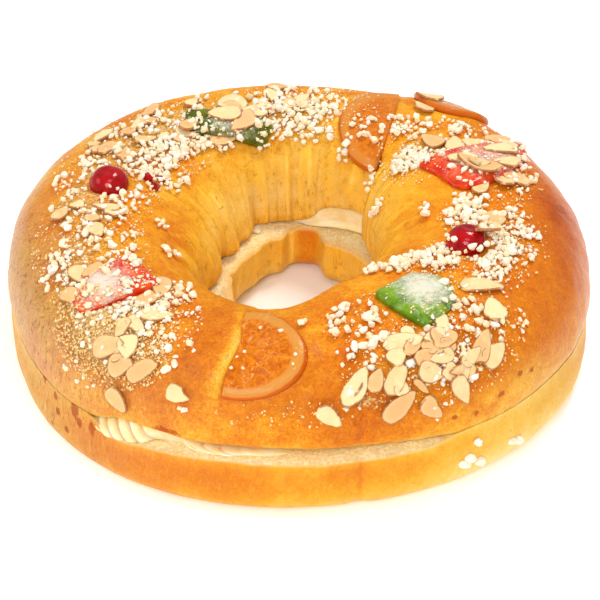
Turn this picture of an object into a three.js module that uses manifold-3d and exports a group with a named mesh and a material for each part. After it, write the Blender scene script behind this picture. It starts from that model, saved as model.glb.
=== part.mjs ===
// A cream-filled king cake: a baked ring of sweet dough, cut level into a base and a lid, with whipped
// cream between them. The lid carries pearl sugar, flaked almonds and pieces of candied fruit.
// Millimetres, +Z up. The origin is on the table under the middle of the cake, and -Y is its front.
import * as THREE from "three";
import { mergeVertices } from "three/addons/utils/BufferGeometryUtils.js";
import Module from "manifold-3d";

const wasm = await Module();
wasm.setup();

// Driving dimensions. Angles are degrees: a turn runs round the ring from +X towards +Y, and a climb runs
// round its section, 0 at the outer side, 90 at the crown and 180 at the side of the hole.
const cake = {
  crown: 80, // height of the crown
  belly: 39.5, // height of the widest line
  bellyLean: 4.5, // how much higher than that the widest line is at the front, and lower at the back
  cutOuter: 31.5, // height of the cut at the outer wall
  cutInner: 27.5, // height of the cut at the hole
  roundness: 2.3, // superellipse power of the section, 2 being an ellipse
  crownShift: 2, // how far the crown lies outside the middle of the section
};
// A ring's outline: a mean radius with a few lobes, each a number of waves, a size and where it peaks.
const outline = { mean: 147, lobes: [[3, 1.2, 18], [4, 2.1, -37]] };
const lidHole = { mean: 50.3, lobes: [[1, 4.6, 205], [2, 8.8, 75.5], [3, 2.2, -3]] };
const baseHole = { mean: 39.1, lobes: [[1, 3.9, 20], [2, 2.2, 90]] };
const notch = { turn: 86, span: 11.5, steepness: 4, depth: 12 }; // where the two ends of the dough met, at the back

// The lid turns in below its widest line, by under degrees of its section, and most at the front.
const lid = { under: 16, tuckLeast: 1.6, tuckInner: 1.2, fullTuck: 4, climbs: 19 };
const frontTuck = { turn: 267, span: 24, depth: 9.5 };
const base = { inset: 1.4, footOuter: 10, footInner: 8, footRound: 14 };
// The filling. hidden is how far it stays inside the outer wall and the hole, but for the places where
// it comes out to show. spare is what the two halves trim off its top and underside.
const filling = { thin: 1.3, hiddenOuter: 15, hiddenInner: 7, wallGap: 1.5, spare: 2 };
const shows = [
  { turn: 239, span: 13, outer: 11.5, inner: 0 },
  { turn: 262, span: 12, outer: 10, inner: 0 },
  { turn: 130, span: 22, outer: 8, inner: 0 },
  { turn: 78, span: 16, outer: 0, inner: 4.5 },
];
const piping = { turn: 239, span: 13, from: 231, to: 250, pitch: 2.2, depth: 2.2, step: 0.73 };
const clearance = 0.3; // between neighbouring pieces
const centre = { x: 0.65, y: -0.95 }; // the middle of the finished cake from the ring's own centre

// How far the lid stands off the base, as rises at the outer wall and at the hole on the thinnest
// filling. The cream shows most at the front left and at the back right inside the hole.
const openings = [
  { turn: 238.7, span: 8, steepness: 2, outer: 10.2, inner: 0.8 },
  { turn: 256, span: 13, steepness: 2, outer: 2.2, inner: 0.5 },
  { turn: 62, span: 19, steepness: 4, outer: 1.2, inner: 14.5 },
  { turn: 130, span: 24, steepness: 2, outer: 3.2, inner: 0 },
];
const rims = [ // where the base's rim is pressed down by the cream, and where it stands higher
  { turn: 234.5, span: 5, rise: -3.5 },
  { turn: 255, span: 16, rise: 1.8 },
];

// Swellings and creases of the baked dough. A negative rise is a crease, and spanAfter, where given,
// is the shorter reach of a swelling that ends in a fold.
const swellings = [
  { turn: 22, climb: 150, spanTurn: 25, spanClimb: 34, rise: 6.5 },
  { turn: 66, climb: 150, spanTurn: 10, spanClimb: 30, rise: 3.6 },
  { turn: 254.6, climb: 66, spanTurn: 13, spanAfter: 1.6, spanClimb: 44, rise: 4.2 },
  { turn: 172, climb: 176, spanTurn: 14, spanClimb: 24, rise: 3.5 },
  { turn: 157, climb: 172, spanTurn: 9, spanClimb: 24, rise: 2.4 },
  { turn: 139, climb: 172, spanTurn: 8, spanClimb: 26, rise: 4.2 },
  { turn: 122, climb: 172, spanTurn: 7, spanClimb: 24, rise: 3.2 },
  { turn: 112, climb: 176, spanTurn: 4, spanClimb: 20, rise: -3.2 },
  { turn: 58, climb: 178, spanTurn: 9, spanClimb: 17, rise: -4.5 },
  { turn: 262, climb: 145, spanTurn: 15, spanClimb: 40, rise: -3.6 },
  { turn: 292, climb: 145, spanTurn: 12, spanClimb: 30, rise: 2 },
  { turn: 197, climb: 60, spanTurn: 26, spanClimb: 40, rise: 1.6 },
  { turn: 300, climb: 40, spanTurn: 24, spanClimb: 40, rise: 1.4 },
  { turn: 118, climb: 70, spanTurn: 22, spanClimb: 40, rise: 1.5 },
  { turn: 51, climb: 160, spanTurn: 4.2, spanClimb: 34, rise: -4.8 },
  { turn: 89, climb: 172, spanTurn: 2.6, spanClimb: 26, rise: -2.0 },
  { turn: 79, climb: 168, spanTurn: 2.6, spanClimb: 24, rise: -1.6 },
  { turn: 281.3, climb: 6, spanTurn: 1.8, spanClimb: 22, rise: -1.1 },
  { turn: 137, climb: 192, spanTurn: 11, spanClimb: 18, rise: 7 },
  { turn: 121, climb: 192, spanTurn: 7, spanClimb: 18, rise: 4.5 },
  { turn: 178, climb: 192, spanTurn: 11, spanClimb: 18, rise: 4.5 },
  { turn: 26, climb: 186, spanTurn: 20, spanClimb: 20, rise: 1.8 },
  { turn: 46, climb: 176, spanTurn: 9, spanClimb: 24, rise: 1.8 },
  { turn: 292, climb: 122, spanTurn: 20, spanClimb: 22, rise: 2 },
];

// The turns that the rings are divided at: even ones, and closer ones at folds and openings.
const evenStep = 7.5;
const foldTurns = [49, 56, 79, 86.5, 94, 101, 139, 229, 236, 238, 243, 245, 254.4, 256.4, 281.3];
const baseCreases = [
  { turn: 281.3, span: 1.8, outer: 1.3, inner: 0 },
  { turn: 160, span: 3.0, outer: 0, inner: 1.8 },
  { turn: 20, span: 4.0, outer: 0, inner: 1.6 },
  { turn: 106, span: 12, outer: 0, inner: 5 },
];

// Candied fruit, each at a place on the lid. spin turns a piece in the surface, 0 lying along the ring.
// A slice shows only from hidden millimetres before its centre, and the rest lies under the dough.
const orangeSlice = { thick: 4.2, rim: 1.2, sides: 18 };
const slices = {
  orange_slice_front: { turn: 259.2, climb: 65, spin: 0, radius: 28.5, hidden: 5.8, lift: 0.8 },
  orange_slice_back: { turn: 55.7, climb: 107, spin: 21, radius: 28, hidden: 0.5, lift: 1.2 },
  orange_slice_far: { turn: 52, climb: 50, spin: -90, radius: 22, hidden: 22, lift: 1.2 },
};
const cherry = { radius: 9.8, squash: 0.92, lift: 0.4 };
const cherries = {
  cherry_left: { turn: 172, climb: 92 },
  cherry_right: { turn: 333.5, climb: 95 },
};

// A cut piece of fruit is a pillow inside a few straight sides, each facing an angle in the surface at
// a distance from the middle of the piece. The corners between them are rounded.
const pieces = { thick: 7.5, lift: 1.1, corners: 9, flatTop: 0.6, bluntEdge: 0.8 };
const cutFruit = {
  candied_green_back: {
    place: { turn: 114.5, climb: 112 },
    sides: [[-32, 23], [58, 9], [148, 22], [238, 8]],
  },
  candied_green_front: {
    place: { turn: 303, climb: 84 },
    sides: [[202, 14], [286, 11.6], [327, 13.8], [46, 17], [95, 14.3]],
  },
  candied_red_left: {
    place: { turn: 221, climb: 81 },
    sides: [[-21, 12.5], [88, 17.5], [195, 10.5], [265, 22]],
  },
  candied_red_right: {
    place: { turn: 18.5, climb: 89 },
    sides: [[106, 19], [222, 13], [-5, 17], [-75, 31], [160, 25]],
  },
};

// Loose toppings, thrown on in patches by a seeded draw. The counts are those that the solid carries.
const almond = { long: 18.5, wide: 10.4, thick: 2.7, out: 1.15 };
const sugar = { least: 1.8, most: 3.0, out: 0.55 };
const patches = [
  { turn: 291, climb: 36, spanTurn: 12, spanClimb: 21, almonds: 7, grains: 3 },
  { turn: 304, climb: 54, spanTurn: 8, spanClimb: 18, almonds: 4, grains: 5 },
  { turn: 318, climb: 74, spanTurn: 9, spanClimb: 14, almonds: 2, grains: 6 },
  { turn: 334, climb: 90, spanTurn: 14, spanClimb: 24, almonds: 1, grains: 9 },
  { turn: 353, climb: 92, spanTurn: 13, spanClimb: 22, almonds: 2, grains: 7 },
  { turn: 28, climb: 82, spanTurn: 13, spanClimb: 20, almonds: 2, grains: 5 },
  { turn: 40, climb: 110, spanTurn: 9, spanClimb: 22, almonds: 1, grains: 5 },
  { turn: 86, climb: 100, spanTurn: 18, spanClimb: 30, almonds: 0, grains: 9 },
  { turn: 113, climb: 94, spanTurn: 13, spanClimb: 26, almonds: 3, grains: 6 },
  { turn: 140, climb: 90, spanTurn: 15, spanClimb: 27, almonds: 2, grains: 7 },
  { turn: 160, climb: 96, spanTurn: 13, spanClimb: 26, almonds: 1, grains: 6 },
  { turn: 190, climb: 86, spanTurn: 15, spanClimb: 25, almonds: 2, grains: 7 },
  { turn: 212, climb: 66, spanTurn: 12, spanClimb: 24, almonds: 2, grains: 5 },
  { turn: 236, climb: 48, spanTurn: 10, spanClimb: 24, almonds: 5, grains: 4 },
  { turn: 283, climb: 82, spanTurn: 8, spanClimb: 16, almonds: 0, grains: 4 },
];
// Grains that fell on the wall of the base, as turns and heights.
const lowGrains = { size: 2.1, places: [[302.5, 17.5], [305.6, 19], [308.4, 17.8], [310, 22.2], [313, 25]] };

const radians = THREE.MathUtils.degToRad;

// The shortest way from one angle to another, in degrees.
function apart(angle, other) {
  return ((((angle - other) % 360) + 540) % 360) - 180;
}

function bell(distance, span, steepness = 2) {
  return Math.exp(-(Math.abs(distance / span) ** steepness));
}

function ringRadius(shape, turn) {
  return shape.lobes.reduce((radius, [waves, size, peak]) => {
    return radius + size * Math.cos(radians(waves * (turn - peak)));
  }, shape.mean);
}

// The height of the cut face of the base. share runs from 0 at the hole to 1 at the outer wall.
function cutHeight(turn, share) {
  const risen = rims.reduce((sum, r) => sum + share * r.rise * bell(apart(turn, r.turn), r.span), 0);
  return THREE.MathUtils.lerp(cake.cutInner, cake.cutOuter, share) + risen;
}

// The height of the filling, from the cut face of the base to the underside of the lid.
function fillingHeight(turn, share) {
  return openings.reduce((height, o) => {
    const rise = THREE.MathUtils.lerp(o.inner, o.outer, share);
    return height + rise * bell(apart(turn, o.turn), o.span, o.steepness);
  }, filling.thin);
}

// Where a radius lies between the two walls of the base, from 0 at the hole to 1 at the outer wall.
function shareAt(turn, radius) {
  const inner = baseRadius(turn, -1);
  const outer = baseRadius(turn, 1);
  return THREE.MathUtils.clamp((radius - inner) / (outer - inner), 0, 1);
}

// The height of the lid's underside.
function seatHeight(turn, radius) {
  const share = shareAt(turn, radius);
  return cutHeight(turn, share) + fillingHeight(turn, share);
}

function bellyHeight(turn) {
  return cake.belly - cake.bellyLean * Math.sin(radians(turn));
}

// The height of the lid's lower edge, at its outer side or in the hole.
function edgeHeight(turn, side) {
  const share = side > 0 ? 1 : 0;
  return cutHeight(turn, share) + fillingHeight(turn, share);
}

// How far the lid turns in below its widest line.
function tuckIn(turn, side) {
  const front = frontTuck.depth * bell(apart(turn, frontTuck.turn), frontTuck.span);
  const most = side > 0 ? lid.tuckLeast + front : lid.tuckInner;
  return most * THREE.MathUtils.clamp((bellyHeight(turn) - edgeHeight(turn, side)) / lid.fullTuck, 0, 1);
}

// The climb of the lid's lower edge, above 0 where the lid is lifted past its widest line.
function edgeClimb(turn, side) {
  const belly = bellyHeight(turn);
  const lifted = Math.max(0, (edgeHeight(turn, side) - belly) / (cake.crown - belly));
  return lifted > 0 ? THREE.MathUtils.radToDeg(Math.asin(lifted ** (cake.roundness / 2))) : -lid.under;
}

function swelling(turn, climb) {
  return swellings.reduce((sum, s) => {
    const past = apart(turn, s.turn);
    const spanTurn = past > 0 ? (s.spanAfter ?? s.spanTurn) : s.spanTurn;
    return sum + s.rise * bell(past, spanTurn) * bell(climb - s.climb, s.spanClimb);
  }, 0);
}

// A point of the lid's crust.
function lidPoint(turn, climb) {
  const outer = ringRadius(outline, turn);
  const inner = ringRadius(lidHole, turn);
  const middle = (outer + inner) / 2 + cake.crownShift;
  const along = Math.cos(radians(climb));
  const up = Math.sin(radians(climb));
  const power = 2 / cake.roundness;
  const across = Math.sign(along) * Math.abs(along) ** power;
  const reach = along > 0 ? outer - middle : middle - inner;
  const under = Math.max(0, -up) / Math.sin(radians(lid.under));
  const belly = bellyHeight(turn);
  const rise = (cake.crown - belly) * Math.max(0, up) ** power;
  const drop = Math.max(0, belly - edgeHeight(turn, along));
  const flat = middle + across * (reach - tuckIn(turn, along) * under * under);
  const swell = swelling(turn, climb) / Math.hypot(flat - middle, rise);
  return polar(turn, flat + swell * (flat - middle), belly - drop * under + rise * (1 + swell));
}

// A frame on the crust: its point, the directions along the ring and up the section, and the outward one.
function crustFrame(turn, climb) {
  const step = 0.5;
  const at = lidPoint(turn, climb);
  const along = lidPoint(turn + step, climb).sub(at).normalize();
  const up = lidPoint(turn, climb + step).sub(at).normalize();
  const out = along.clone().cross(up).normalize();
  return { at, along, up: out.clone().cross(along), out };
}

// A point off a frame, by distances along its three directions.
function offFrame(frame, along, up, out) {
  return frame.at
    .clone()
    .addScaledVector(frame.along, along)
    .addScaledVector(frame.up, up)
    .addScaledVector(frame.out, out);
}

// A point at x along the ring and y up the section from a place on the crust, lifted off the surface.
function onCrust(place, x, y, lift) {
  const spin = radians(place.spin ?? 0);
  const alongRing = x * Math.cos(spin) - y * Math.sin(spin);
  const upSection = x * Math.sin(spin) + y * Math.cos(spin);
  const here = lidPoint(place.turn, place.climb);
  const sectionRadius = (outline.mean - lidHole.mean) / 2;
  const turn = place.turn + THREE.MathUtils.radToDeg(alongRing / Math.hypot(here.x, here.y));
  const climb = place.climb + THREE.MathUtils.radToDeg(upSection / sectionRadius);
  const frame = crustFrame(turn, climb);
  return frame.at.addScaledVector(frame.out, lift);
}

// A repeatable draw of numbers from 0 to 1.
function makeDraw(seed) {
  let state = seed;
  return () => {
    state = (state * 16807) % 2147483647;
    return state / 2147483647;
  };
}

// A ring whose section is a closed loop of points: a torus grid with each vertex put in its place.
function sweptRing(turns, places, pointAt) {
  const geometry = new THREE.TorusGeometry(2, 1, places, turns.length);
  const position = geometry.getAttribute("position");
  for (let place = 0; place <= places; place += 1) {
    for (let step = 0; step <= turns.length; step += 1) {
      const p = pointAt(turns[step % turns.length], place % places);
      position.setXYZ(place * (turns.length + 1) + step, p.x, p.y, p.z);
    }
  }
  return geometry;
}

function ringTurns(step = evenStep, others = []) {
  const even = Array.from({ length: 360 / step }, (_, i) => step * i);
  return [...even, ...foldTurns, ...others].sort((a, b) => a - b);
}

function polar(turn, radius, z) {
  return new THREE.Vector3(radius * Math.cos(radians(turn)), radius * Math.sin(radians(turn)), z);
}

// Moves each vertex of a geometry by a rule.
function bend(geometry, rule) {
  const position = geometry.getAttribute("position");
  for (let i = 0; i < position.count; i += 1) {
    const p = rule(position.getX(i), position.getY(i), position.getZ(i));
    position.setXYZ(i, p.x, p.y, p.z);
  }
  return geometry;
}

function toSolid(geometry) {
  const bare = new THREE.BufferGeometry();
  bare.setAttribute("position", geometry.getAttribute("position").clone());
  bare.setIndex(geometry.getIndex());
  const merged = mergeVertices(bare, 1e-3);
  const solid = new wasm.Manifold(
    new wasm.Mesh({
      numProp: 3,
      vertProperties: merged.getAttribute("position").array,
      triVerts: new Uint32Array(merged.getIndex().array),
    }),
  );
  return solid;
}

function toGeometry(solid) {
  const mesh = solid.getMesh();
  const geometry = new THREE.BufferGeometry();
  const values = Float32Array.from(mesh.vertProperties);
  geometry.setAttribute("position", new THREE.BufferAttribute(values, mesh.numProp));
  geometry.setIndex(new THREE.BufferAttribute(Uint32Array.from(mesh.triVerts), 1));
  return geometry;
}

// The largest body of a solid, without loose scraps.
function largestBody(solid) {
  return solid.decompose().reduce((best, body) => (body.volume() > best.volume() ? body : best));
}

// The base: a low ring with a cut face, an upright wall and a rounded foot.
function baseRadius(turn, side) {
  const crease = baseCreases.reduce((sum, c) => {
    return sum + (side > 0 ? c.outer : c.inner) * bell(apart(turn, c.turn), c.span);
  }, 0);
  const notched = notch.depth * bell(apart(turn, notch.turn), notch.span, notch.steepness);
  const inner = ringRadius(baseHole, turn) + notched + crease;
  return side > 0 ? ringRadius(outline, turn) - base.inset - crease : inner;
}

// One side of the base's section, from its cut down to the table, as insets and heights. A height is
// a share of the foot's round, or null at the cut.
const baseProfile = [
  { inset: 0, height: null },
  { inset: -0.06, height: 1.3 },
  { inset: 0.08, height: 0.75 },
  { inset: 0.38, height: 0.28 },
  { inset: 1, height: 0 },
];

function makeBase() {
  const outside = baseProfile.map((p) => ({ ...p, side: 1, foot: base.footOuter, share: 1 }));
  const inside = baseProfile.map((p) => ({ ...p, side: -1, foot: base.footInner, share: 0 }));
  const loop = [...outside.reverse(), ...inside];
  return sweptRing(ringTurns(), loop.length, (turn, place) => {
    const p = loop[place];
    const radius = baseRadius(turn, p.side) - p.side * p.inset * p.foot;
    return polar(turn, radius, p.height === null ? cutHeight(turn, p.share) : p.height * base.footRound);
  });
}

// The filling: a ring between the two cut faces, piped in slanting ridges where it shows.
function fillingReach(turn) {
  const ridge = piping.depth * Math.abs(Math.sin((Math.PI * turn) / piping.pitch));
  const piped = ridge * bell(apart(turn, piping.turn), piping.span);
  const out = (side) => shows.reduce((sum, s) => sum + s[side] * bell(apart(turn, s.turn), s.span), 0);
  const wall = ringRadius(outline, turn);
  return {
    outer: Math.min(wall - filling.hiddenOuter + out("outer") + piped, wall - filling.wallGap),
    inner: ringRadius(lidHole, turn) + filling.hiddenInner - out("inner"),
  };
}

// The filling's section: the side it is on, its share of the height, how far it bulges out there and
// which way its spare goes.
const fillingProfile = [
  { side: 1, share: 0, out: -1, past: -1 },
  { side: 1, share: 0.4, out: 0.4, past: 0 },
  { side: 1, share: 1, out: -1.6, past: 1 },
  { side: -1, share: 1, out: 0, past: 1 },
  { side: -1, share: 0, out: 0, past: -1 },
];

function makeFilling() {
  const ridgeTurns = [];
  for (let turn = piping.from; turn < piping.to; turn += piping.step) {
    ridgeTurns.push(turn);
  }
  const loop = fillingProfile;
  return sweptRing(ringTurns(2 * evenStep, ridgeTurns), loop.length, (turn, place) => {
    const p = loop[place];
    const reach = fillingReach(turn);
    const radius = p.side > 0 ? reach.outer + p.out : reach.inner - p.out;
    const share = shareAt(turn, radius);
    const height = fillingHeight(turn, share) * p.share + filling.spare * p.past;
    return polar(turn, radius, cutHeight(turn, share) + height);
  });
}

// The lid's dough, before anything is put on it.
function makeDough() {
  return sweptRing(ringTurns(), lid.climbs, (turn, place) => {
    const ends = [edgeClimb(turn, 1), 180 - edgeClimb(turn, -1)];
    const point = lidPoint(turn, THREE.MathUtils.lerp(...ends, place / (lid.climbs - 1)));
    const isEdge = place === 0 || place === lid.climbs - 1;
    return isEdge ? point.setZ(seatHeight(turn, Math.hypot(point.x, point.y))) : point;
  });
}

// A disc with a rounded rim, cut straight where the dough hides it and laid over the crust. grow swells
// it all round, for the recess that it sits in.
function makeSlice(place, grow) {
  const r = place.radius + grow;
  const half = orangeSlice.thick / 2 + grow;
  const rim = r - orangeSlice.rim;
  const profile = [
    [0, -half],
    [r * 0.55, -half],
    [rim, -half],
    [r, 0],
    [rim, half],
    [r * 0.55, half],
    [0, half],
  ].map(([x, y]) => new THREE.Vector2(x, y));
  const disc = new THREE.LatheGeometry(profile, orangeSlice.sides).rotateX(Math.PI / 2);
  const side = 3 * r;
  const hiddenPart = new THREE.BoxGeometry(side, side, side);
  hiddenPart.translate(-side / 2 - place.hidden - grow, 0, 0);
  const shown = toSolid(disc).subtract(toSolid(hiddenPart));
  return toSolid(bend(toGeometry(shown), (x, y, z) => onCrust(place, x, y, place.lift + z)));
}

function makeCherry(place, grow) {
  const r = cherry.radius + grow;
  const ball = new THREE.SphereGeometry(r, 12, 7).rotateX(Math.PI / 2);
  const frame = crustFrame(place.turn, place.climb);
  return toSolid(bend(ball, (x, y, z) => offFrame(frame, x, y, cherry.lift + z * cherry.squash)));
}

// The distance from the middle of a cut piece of fruit to its edge, towards an angle in radians.
function edgeDistance(sides, angle) {
  const sum = sides.reduce((total, [facing, distance]) => {
    const toward = Math.max(0, Math.cos(angle - radians(facing)));
    return total + (toward / distance) ** pieces.corners;
  }, 0);
  return sum ** (-1 / pieces.corners);
}

function makeCutFruit({ place, sides }, grow) {
  const ball = new THREE.SphereGeometry(1, 16, 6).rotateX(Math.PI / 2);
  const blunt = (value, power) => Math.sign(value) * Math.abs(value) ** power;
  return toSolid(
    bend(ball, (x, y, z) => {
      const angle = Math.atan2(y, x);
      const reach = blunt(Math.hypot(x, y), pieces.flatTop) * (edgeDistance(sides, angle) + grow);
      const lift = pieces.lift + blunt(z, pieces.bluntEdge) * (pieces.thick / 2 + grow);
      return onCrust(place, reach * Math.cos(angle), reach * Math.sin(angle), lift);
    }),
  );
}

// A flaked almond: a thin flat slice with one pointed end, lying on the crust.
function makeAlmond(frame, place, draw) {
  const long = (almond.long / 2) * (0.8 + 0.4 * draw());
  const wide = (almond.wide / 2) * (0.8 + 0.35 * draw());
  const flake = new THREE.Shape();
  flake.moveTo(long, 0);
  flake.quadraticCurveTo(long * 0.35, wide * 1.25, -long * 0.45, wide * 0.9);
  flake.quadraticCurveTo(-long * 1.15, 0, -long * 0.45, -wide * 0.9);
  flake.quadraticCurveTo(long * 0.35, -wide * 1.25, long, 0);
  const plate = new THREE.ExtrudeGeometry(flake, {
    depth: almond.thick,
    bevelEnabled: false,
    curveSegments: 2,
  });
  plate.rotateZ(radians(place.spin));
  const low = almond.out - almond.thick;
  return toSolid(bend(plate, (x, y, z) => offFrame(frame, x, y, low + z)));
}

// A grain of pearl sugar: an uneven lump with a few sides.
function makeGrain(frame, place, draw) {
  const stretch = 0.8 + 0.5 * draw();
  const lump = new THREE.IcosahedronGeometry(place.size, 0);
  lump.rotateZ(2 * Math.PI * draw()).rotateX(Math.PI * draw());
  return toSolid(
    bend(lump, (x, y, z) => offFrame(frame, x * stretch, y, z * 0.85 + place.size * sugar.out)),
  );
}

// Whether a thrown piece would touch the fruit or a piece that lies there already.
function isFree(spot, taken) {
  return taken.every((t) => t.point.distanceTo(spot.point) > t.reach + spot.reach);
}

// The ground that the fruit takes up, as circles round points on the crust.
function fruitFootprints() {
  const found = [];
  const add = (place, x, y, reach) => found.push({ point: onCrust(place, x, y, 0), reach });
  Object.values(slices).forEach((s) => {
    const shown = (s.radius + s.hidden) / 2;
    [-0.5, 0, 0.5].forEach((share) => add(s, s.radius - shown, share * s.radius, shown - 2));
  });
  Object.values(cherries).forEach((c) => add(c, 0, 0, cherry.radius));
  Object.values(cutFruit).forEach(({ place, sides }) => {
    sides.forEach(([facing]) => {
      const reach = 0.5 * edgeDistance(sides, radians(facing));
      add(place, reach * Math.cos(radians(facing)), reach * Math.sin(radians(facing)), 8);
    });
  });
  return found;
}

// Throws the loose toppings on, patch by patch.
function makeToppings() {
  const thrown = [];
  const taken = fruitFootprints();
  patches.forEach((patch, number) => {
    const draw = makeDraw(1000 + 77 * number);
    const throwOne = (reach) => ({
      turn: patch.turn + patch.spanTurn * 1.15 * (draw() + draw() - 1),
      climb: patch.climb + patch.spanClimb * 1.15 * (draw() + draw() - 1),
      spin: 360 * draw(),
      size: reach ?? sugar.least + (sugar.most - sugar.least) * draw(),
    });
    const lay = (count, reach, make) => {
      let laid = 0;
      for (let tries = 0; tries < 40 * count && laid < count; tries += 1) {
        const place = throwOne(reach);
        const frame = crustFrame(place.turn, place.climb);
        const spot = { point: frame.at, reach: place.size * 0.95 };
        if (isFree(spot, taken)) {
          taken.push(spot);
          thrown.push(make(frame, place, draw));
          laid += 1;
        }
      }
    };
    lay(patch.almonds, almond.wide * 0.55, makeAlmond);
    lay(patch.grains, null, makeGrain);
  });
  return thrown;
}

// A few grains that fell on the wall of the base, at its front right.
function makeLowGrains() {
  const draw = makeDraw(4711);
  return lowGrains.places.map(([turn, height]) => {
    const frame = {
      at: polar(turn, baseRadius(turn, 1), height),
      along: polar(turn + 90, 1, 0),
      up: new THREE.Vector3(0, 0, 1),
      out: polar(turn, 1, 0),
    };
    return makeGrain(frame, { size: lowGrains.size }, draw);
  });
}

// Candied fruit: each solid with the slightly larger one that its recess in the lid is cut with.
function makeFruit() {
  const found = [];
  const add = (name, place, make, finish) => {
    found.push({ name, solid: make(place, 0), room: make(place, clearance), finish });
  };
  Object.entries(slices).forEach(([name, place]) => add(name, place, makeSlice, "orange"));
  Object.entries(cherries).forEach(([name, place]) => add(name, place, makeCherry, "cherry"));
  Object.entries(cutFruit).forEach(([name, shape]) => {
    add(name, shape, makeCutFruit, name.includes("green") ? "green" : "red");
  });
  return found;
}

const finishes = {
  crust: { color: 0xdd8d33, roughness: 0.38 },
  cream: { color: 0xf8ecc4, roughness: 0.55 },
  orange: { color: 0xd9731a, roughness: 0.25 },
  cherry: { color: 0xb50b16, roughness: 0.15 },
  green: { color: 0x4f7f24, roughness: 0.3 },
  red: { color: 0xd83a20, roughness: 0.3 },
};

function addMesh(group, name, geometry, finish) {
  const flatShaded = geometry.getIndex() ? geometry.toNonIndexed() : geometry;
  flatShaded.computeVertexNormals();
  const settings = { ...finishes[finish], metalness: 0 };
  const mesh = new THREE.Mesh(flatShaded, new THREE.MeshStandardMaterial(settings));
  mesh.name = name;
  group.add(mesh);
}

const kingCake = new THREE.Group();
kingCake.position.set(-centre.x, -centre.y, 0);
const fruit = makeFruit();
const baseBun = toSolid(makeBase());
const dough = toSolid(makeDough());
const sprinkledBase = wasm.Manifold.union([baseBun, ...makeLowGrains()]);
const laden = wasm.Manifold.union([dough, ...makeToppings()]);
const recessed = fruit.reduce((solid, piece) => solid.subtract(piece.room), laden);
// The cream is trimmed by the two halves, each moved towards it by the clearance.
const cream = toSolid(makeFilling())
  .subtract(baseBun.translate([0, 0, clearance]))
  .subtract(dough.translate([0, 0, -clearance]));
addMesh(kingCake, "bun_base", toGeometry(sprinkledBase), "crust");
addMesh(kingCake, "cream", toGeometry(largestBody(cream)), "cream");
addMesh(kingCake, "bun_lid", toGeometry(largestBody(recessed)), "crust");
fruit.forEach((piece) => addMesh(kingCake, piece.name, toGeometry(piece.solid), piece.finish));

export default kingCake;
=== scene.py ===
# A cream-filled king cake: its fine crust, crumb, cream, candied fruit, almonds and pearl sugar.
# Sizes are millimetres until a mesh is made. A turn runs round the ring in degrees, 270 being the front,
# and a climb runs round the section of the lid, 0 outside, 90 at the crown and 180 in the hole.
import functools
import itertools
import math
import random

import bmesh
import bpy
from mathutils import Matrix, Vector, noise


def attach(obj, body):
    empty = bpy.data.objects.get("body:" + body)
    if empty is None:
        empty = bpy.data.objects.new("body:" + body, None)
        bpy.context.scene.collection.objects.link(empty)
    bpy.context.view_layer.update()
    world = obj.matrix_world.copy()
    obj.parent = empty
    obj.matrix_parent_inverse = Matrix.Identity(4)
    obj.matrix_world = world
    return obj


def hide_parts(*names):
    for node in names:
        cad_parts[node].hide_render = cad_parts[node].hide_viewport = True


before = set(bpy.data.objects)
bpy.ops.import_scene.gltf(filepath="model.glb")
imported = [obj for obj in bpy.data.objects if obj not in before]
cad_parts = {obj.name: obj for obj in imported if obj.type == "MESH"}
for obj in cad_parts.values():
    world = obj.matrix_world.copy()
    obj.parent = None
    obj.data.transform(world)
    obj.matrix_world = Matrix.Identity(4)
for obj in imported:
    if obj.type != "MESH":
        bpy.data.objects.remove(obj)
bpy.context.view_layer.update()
print("frame loaded")

cake = {
    "crown": 80,
    "belly": 39.5,  # height of the widest line
    "bellyLean": 4.5,  # higher at the front, lower at the back
    "cutOuter": 31.5,
    "cutInner": 27.5,
    "roundness": 2.3,
    "crownShift": 2,
    "outline": (147, [(3, 1.2, 18), (4, 2.1, -37)]),  # mean radius, then waves, size and peak
    "lidHole": (50.3, [(1, 4.6, 205), (2, 8.8, 75.5), (3, 2.2, -3)]),
    "baseHole": (39.1, [(1, 3.9, 20), (2, 2.2, 90)]),
    "centre": (0.65, -0.95),  # the middle of the cake from the ring's own centre
    "thinFilling": 1.3,
    "openings": [  # turn, span, steepness and how much higher the filling is outside and in the hole
        (238.7, 8, 2, 10.2, 0.8), (256, 13, 2, 2.2, 0.5), (62, 19, 4, 1.2, 14.5), (130, 24, 2, 3.2, 0),
    ],
    "rims": [(234.5, 5, -3.5), (255, 16, 1.8)],  # where the base's rim is pressed down or stands higher
}


def apart(angle, other):
    return (angle - other + 180) % 360 - 180


def bell(distance, span, steepness=2):
    return math.exp(-(abs(distance / span) ** steepness))


def lerp(low, high, share):
    return low + (high - low) * share


def smooth(low, high, value):
    share = min(1, max(0, (value - low) / (high - low)))
    return share * share * (3 - 2 * share)


def polar(turn, radius, height):
    angle = math.radians(turn)
    return Vector((radius * math.cos(angle), radius * math.sin(angle), height))


def inScene(point):
    # a point of the ring in metres, in the frame of the CAD solids
    return (point - Vector((*cake["centre"], 0))) / 1000


@functools.lru_cache(maxsize=None)
def ringRadius(which, turn):
    mean, lobes = cake[which]
    return mean + sum(size * math.cos(math.radians(waves * (turn - peak))) for waves, size, peak in lobes)


def cutHeight(turn, share):
    # the cut face of the base, share 0 at the hole and 1 at the outer wall
    risen = sum(rise * bell(apart(turn, at), span) for at, span, rise in cake["rims"])
    return lerp(cake["cutInner"], cake["cutOuter"], share) + share * risen


def fillingHeight(turn, share):
    rises = (lerp(inner, outer, share) * bell(apart(turn, at), span, steepness)
             for at, span, steepness, outer, inner in cake["openings"])
    return cake["thinFilling"] + sum(rises)


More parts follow.
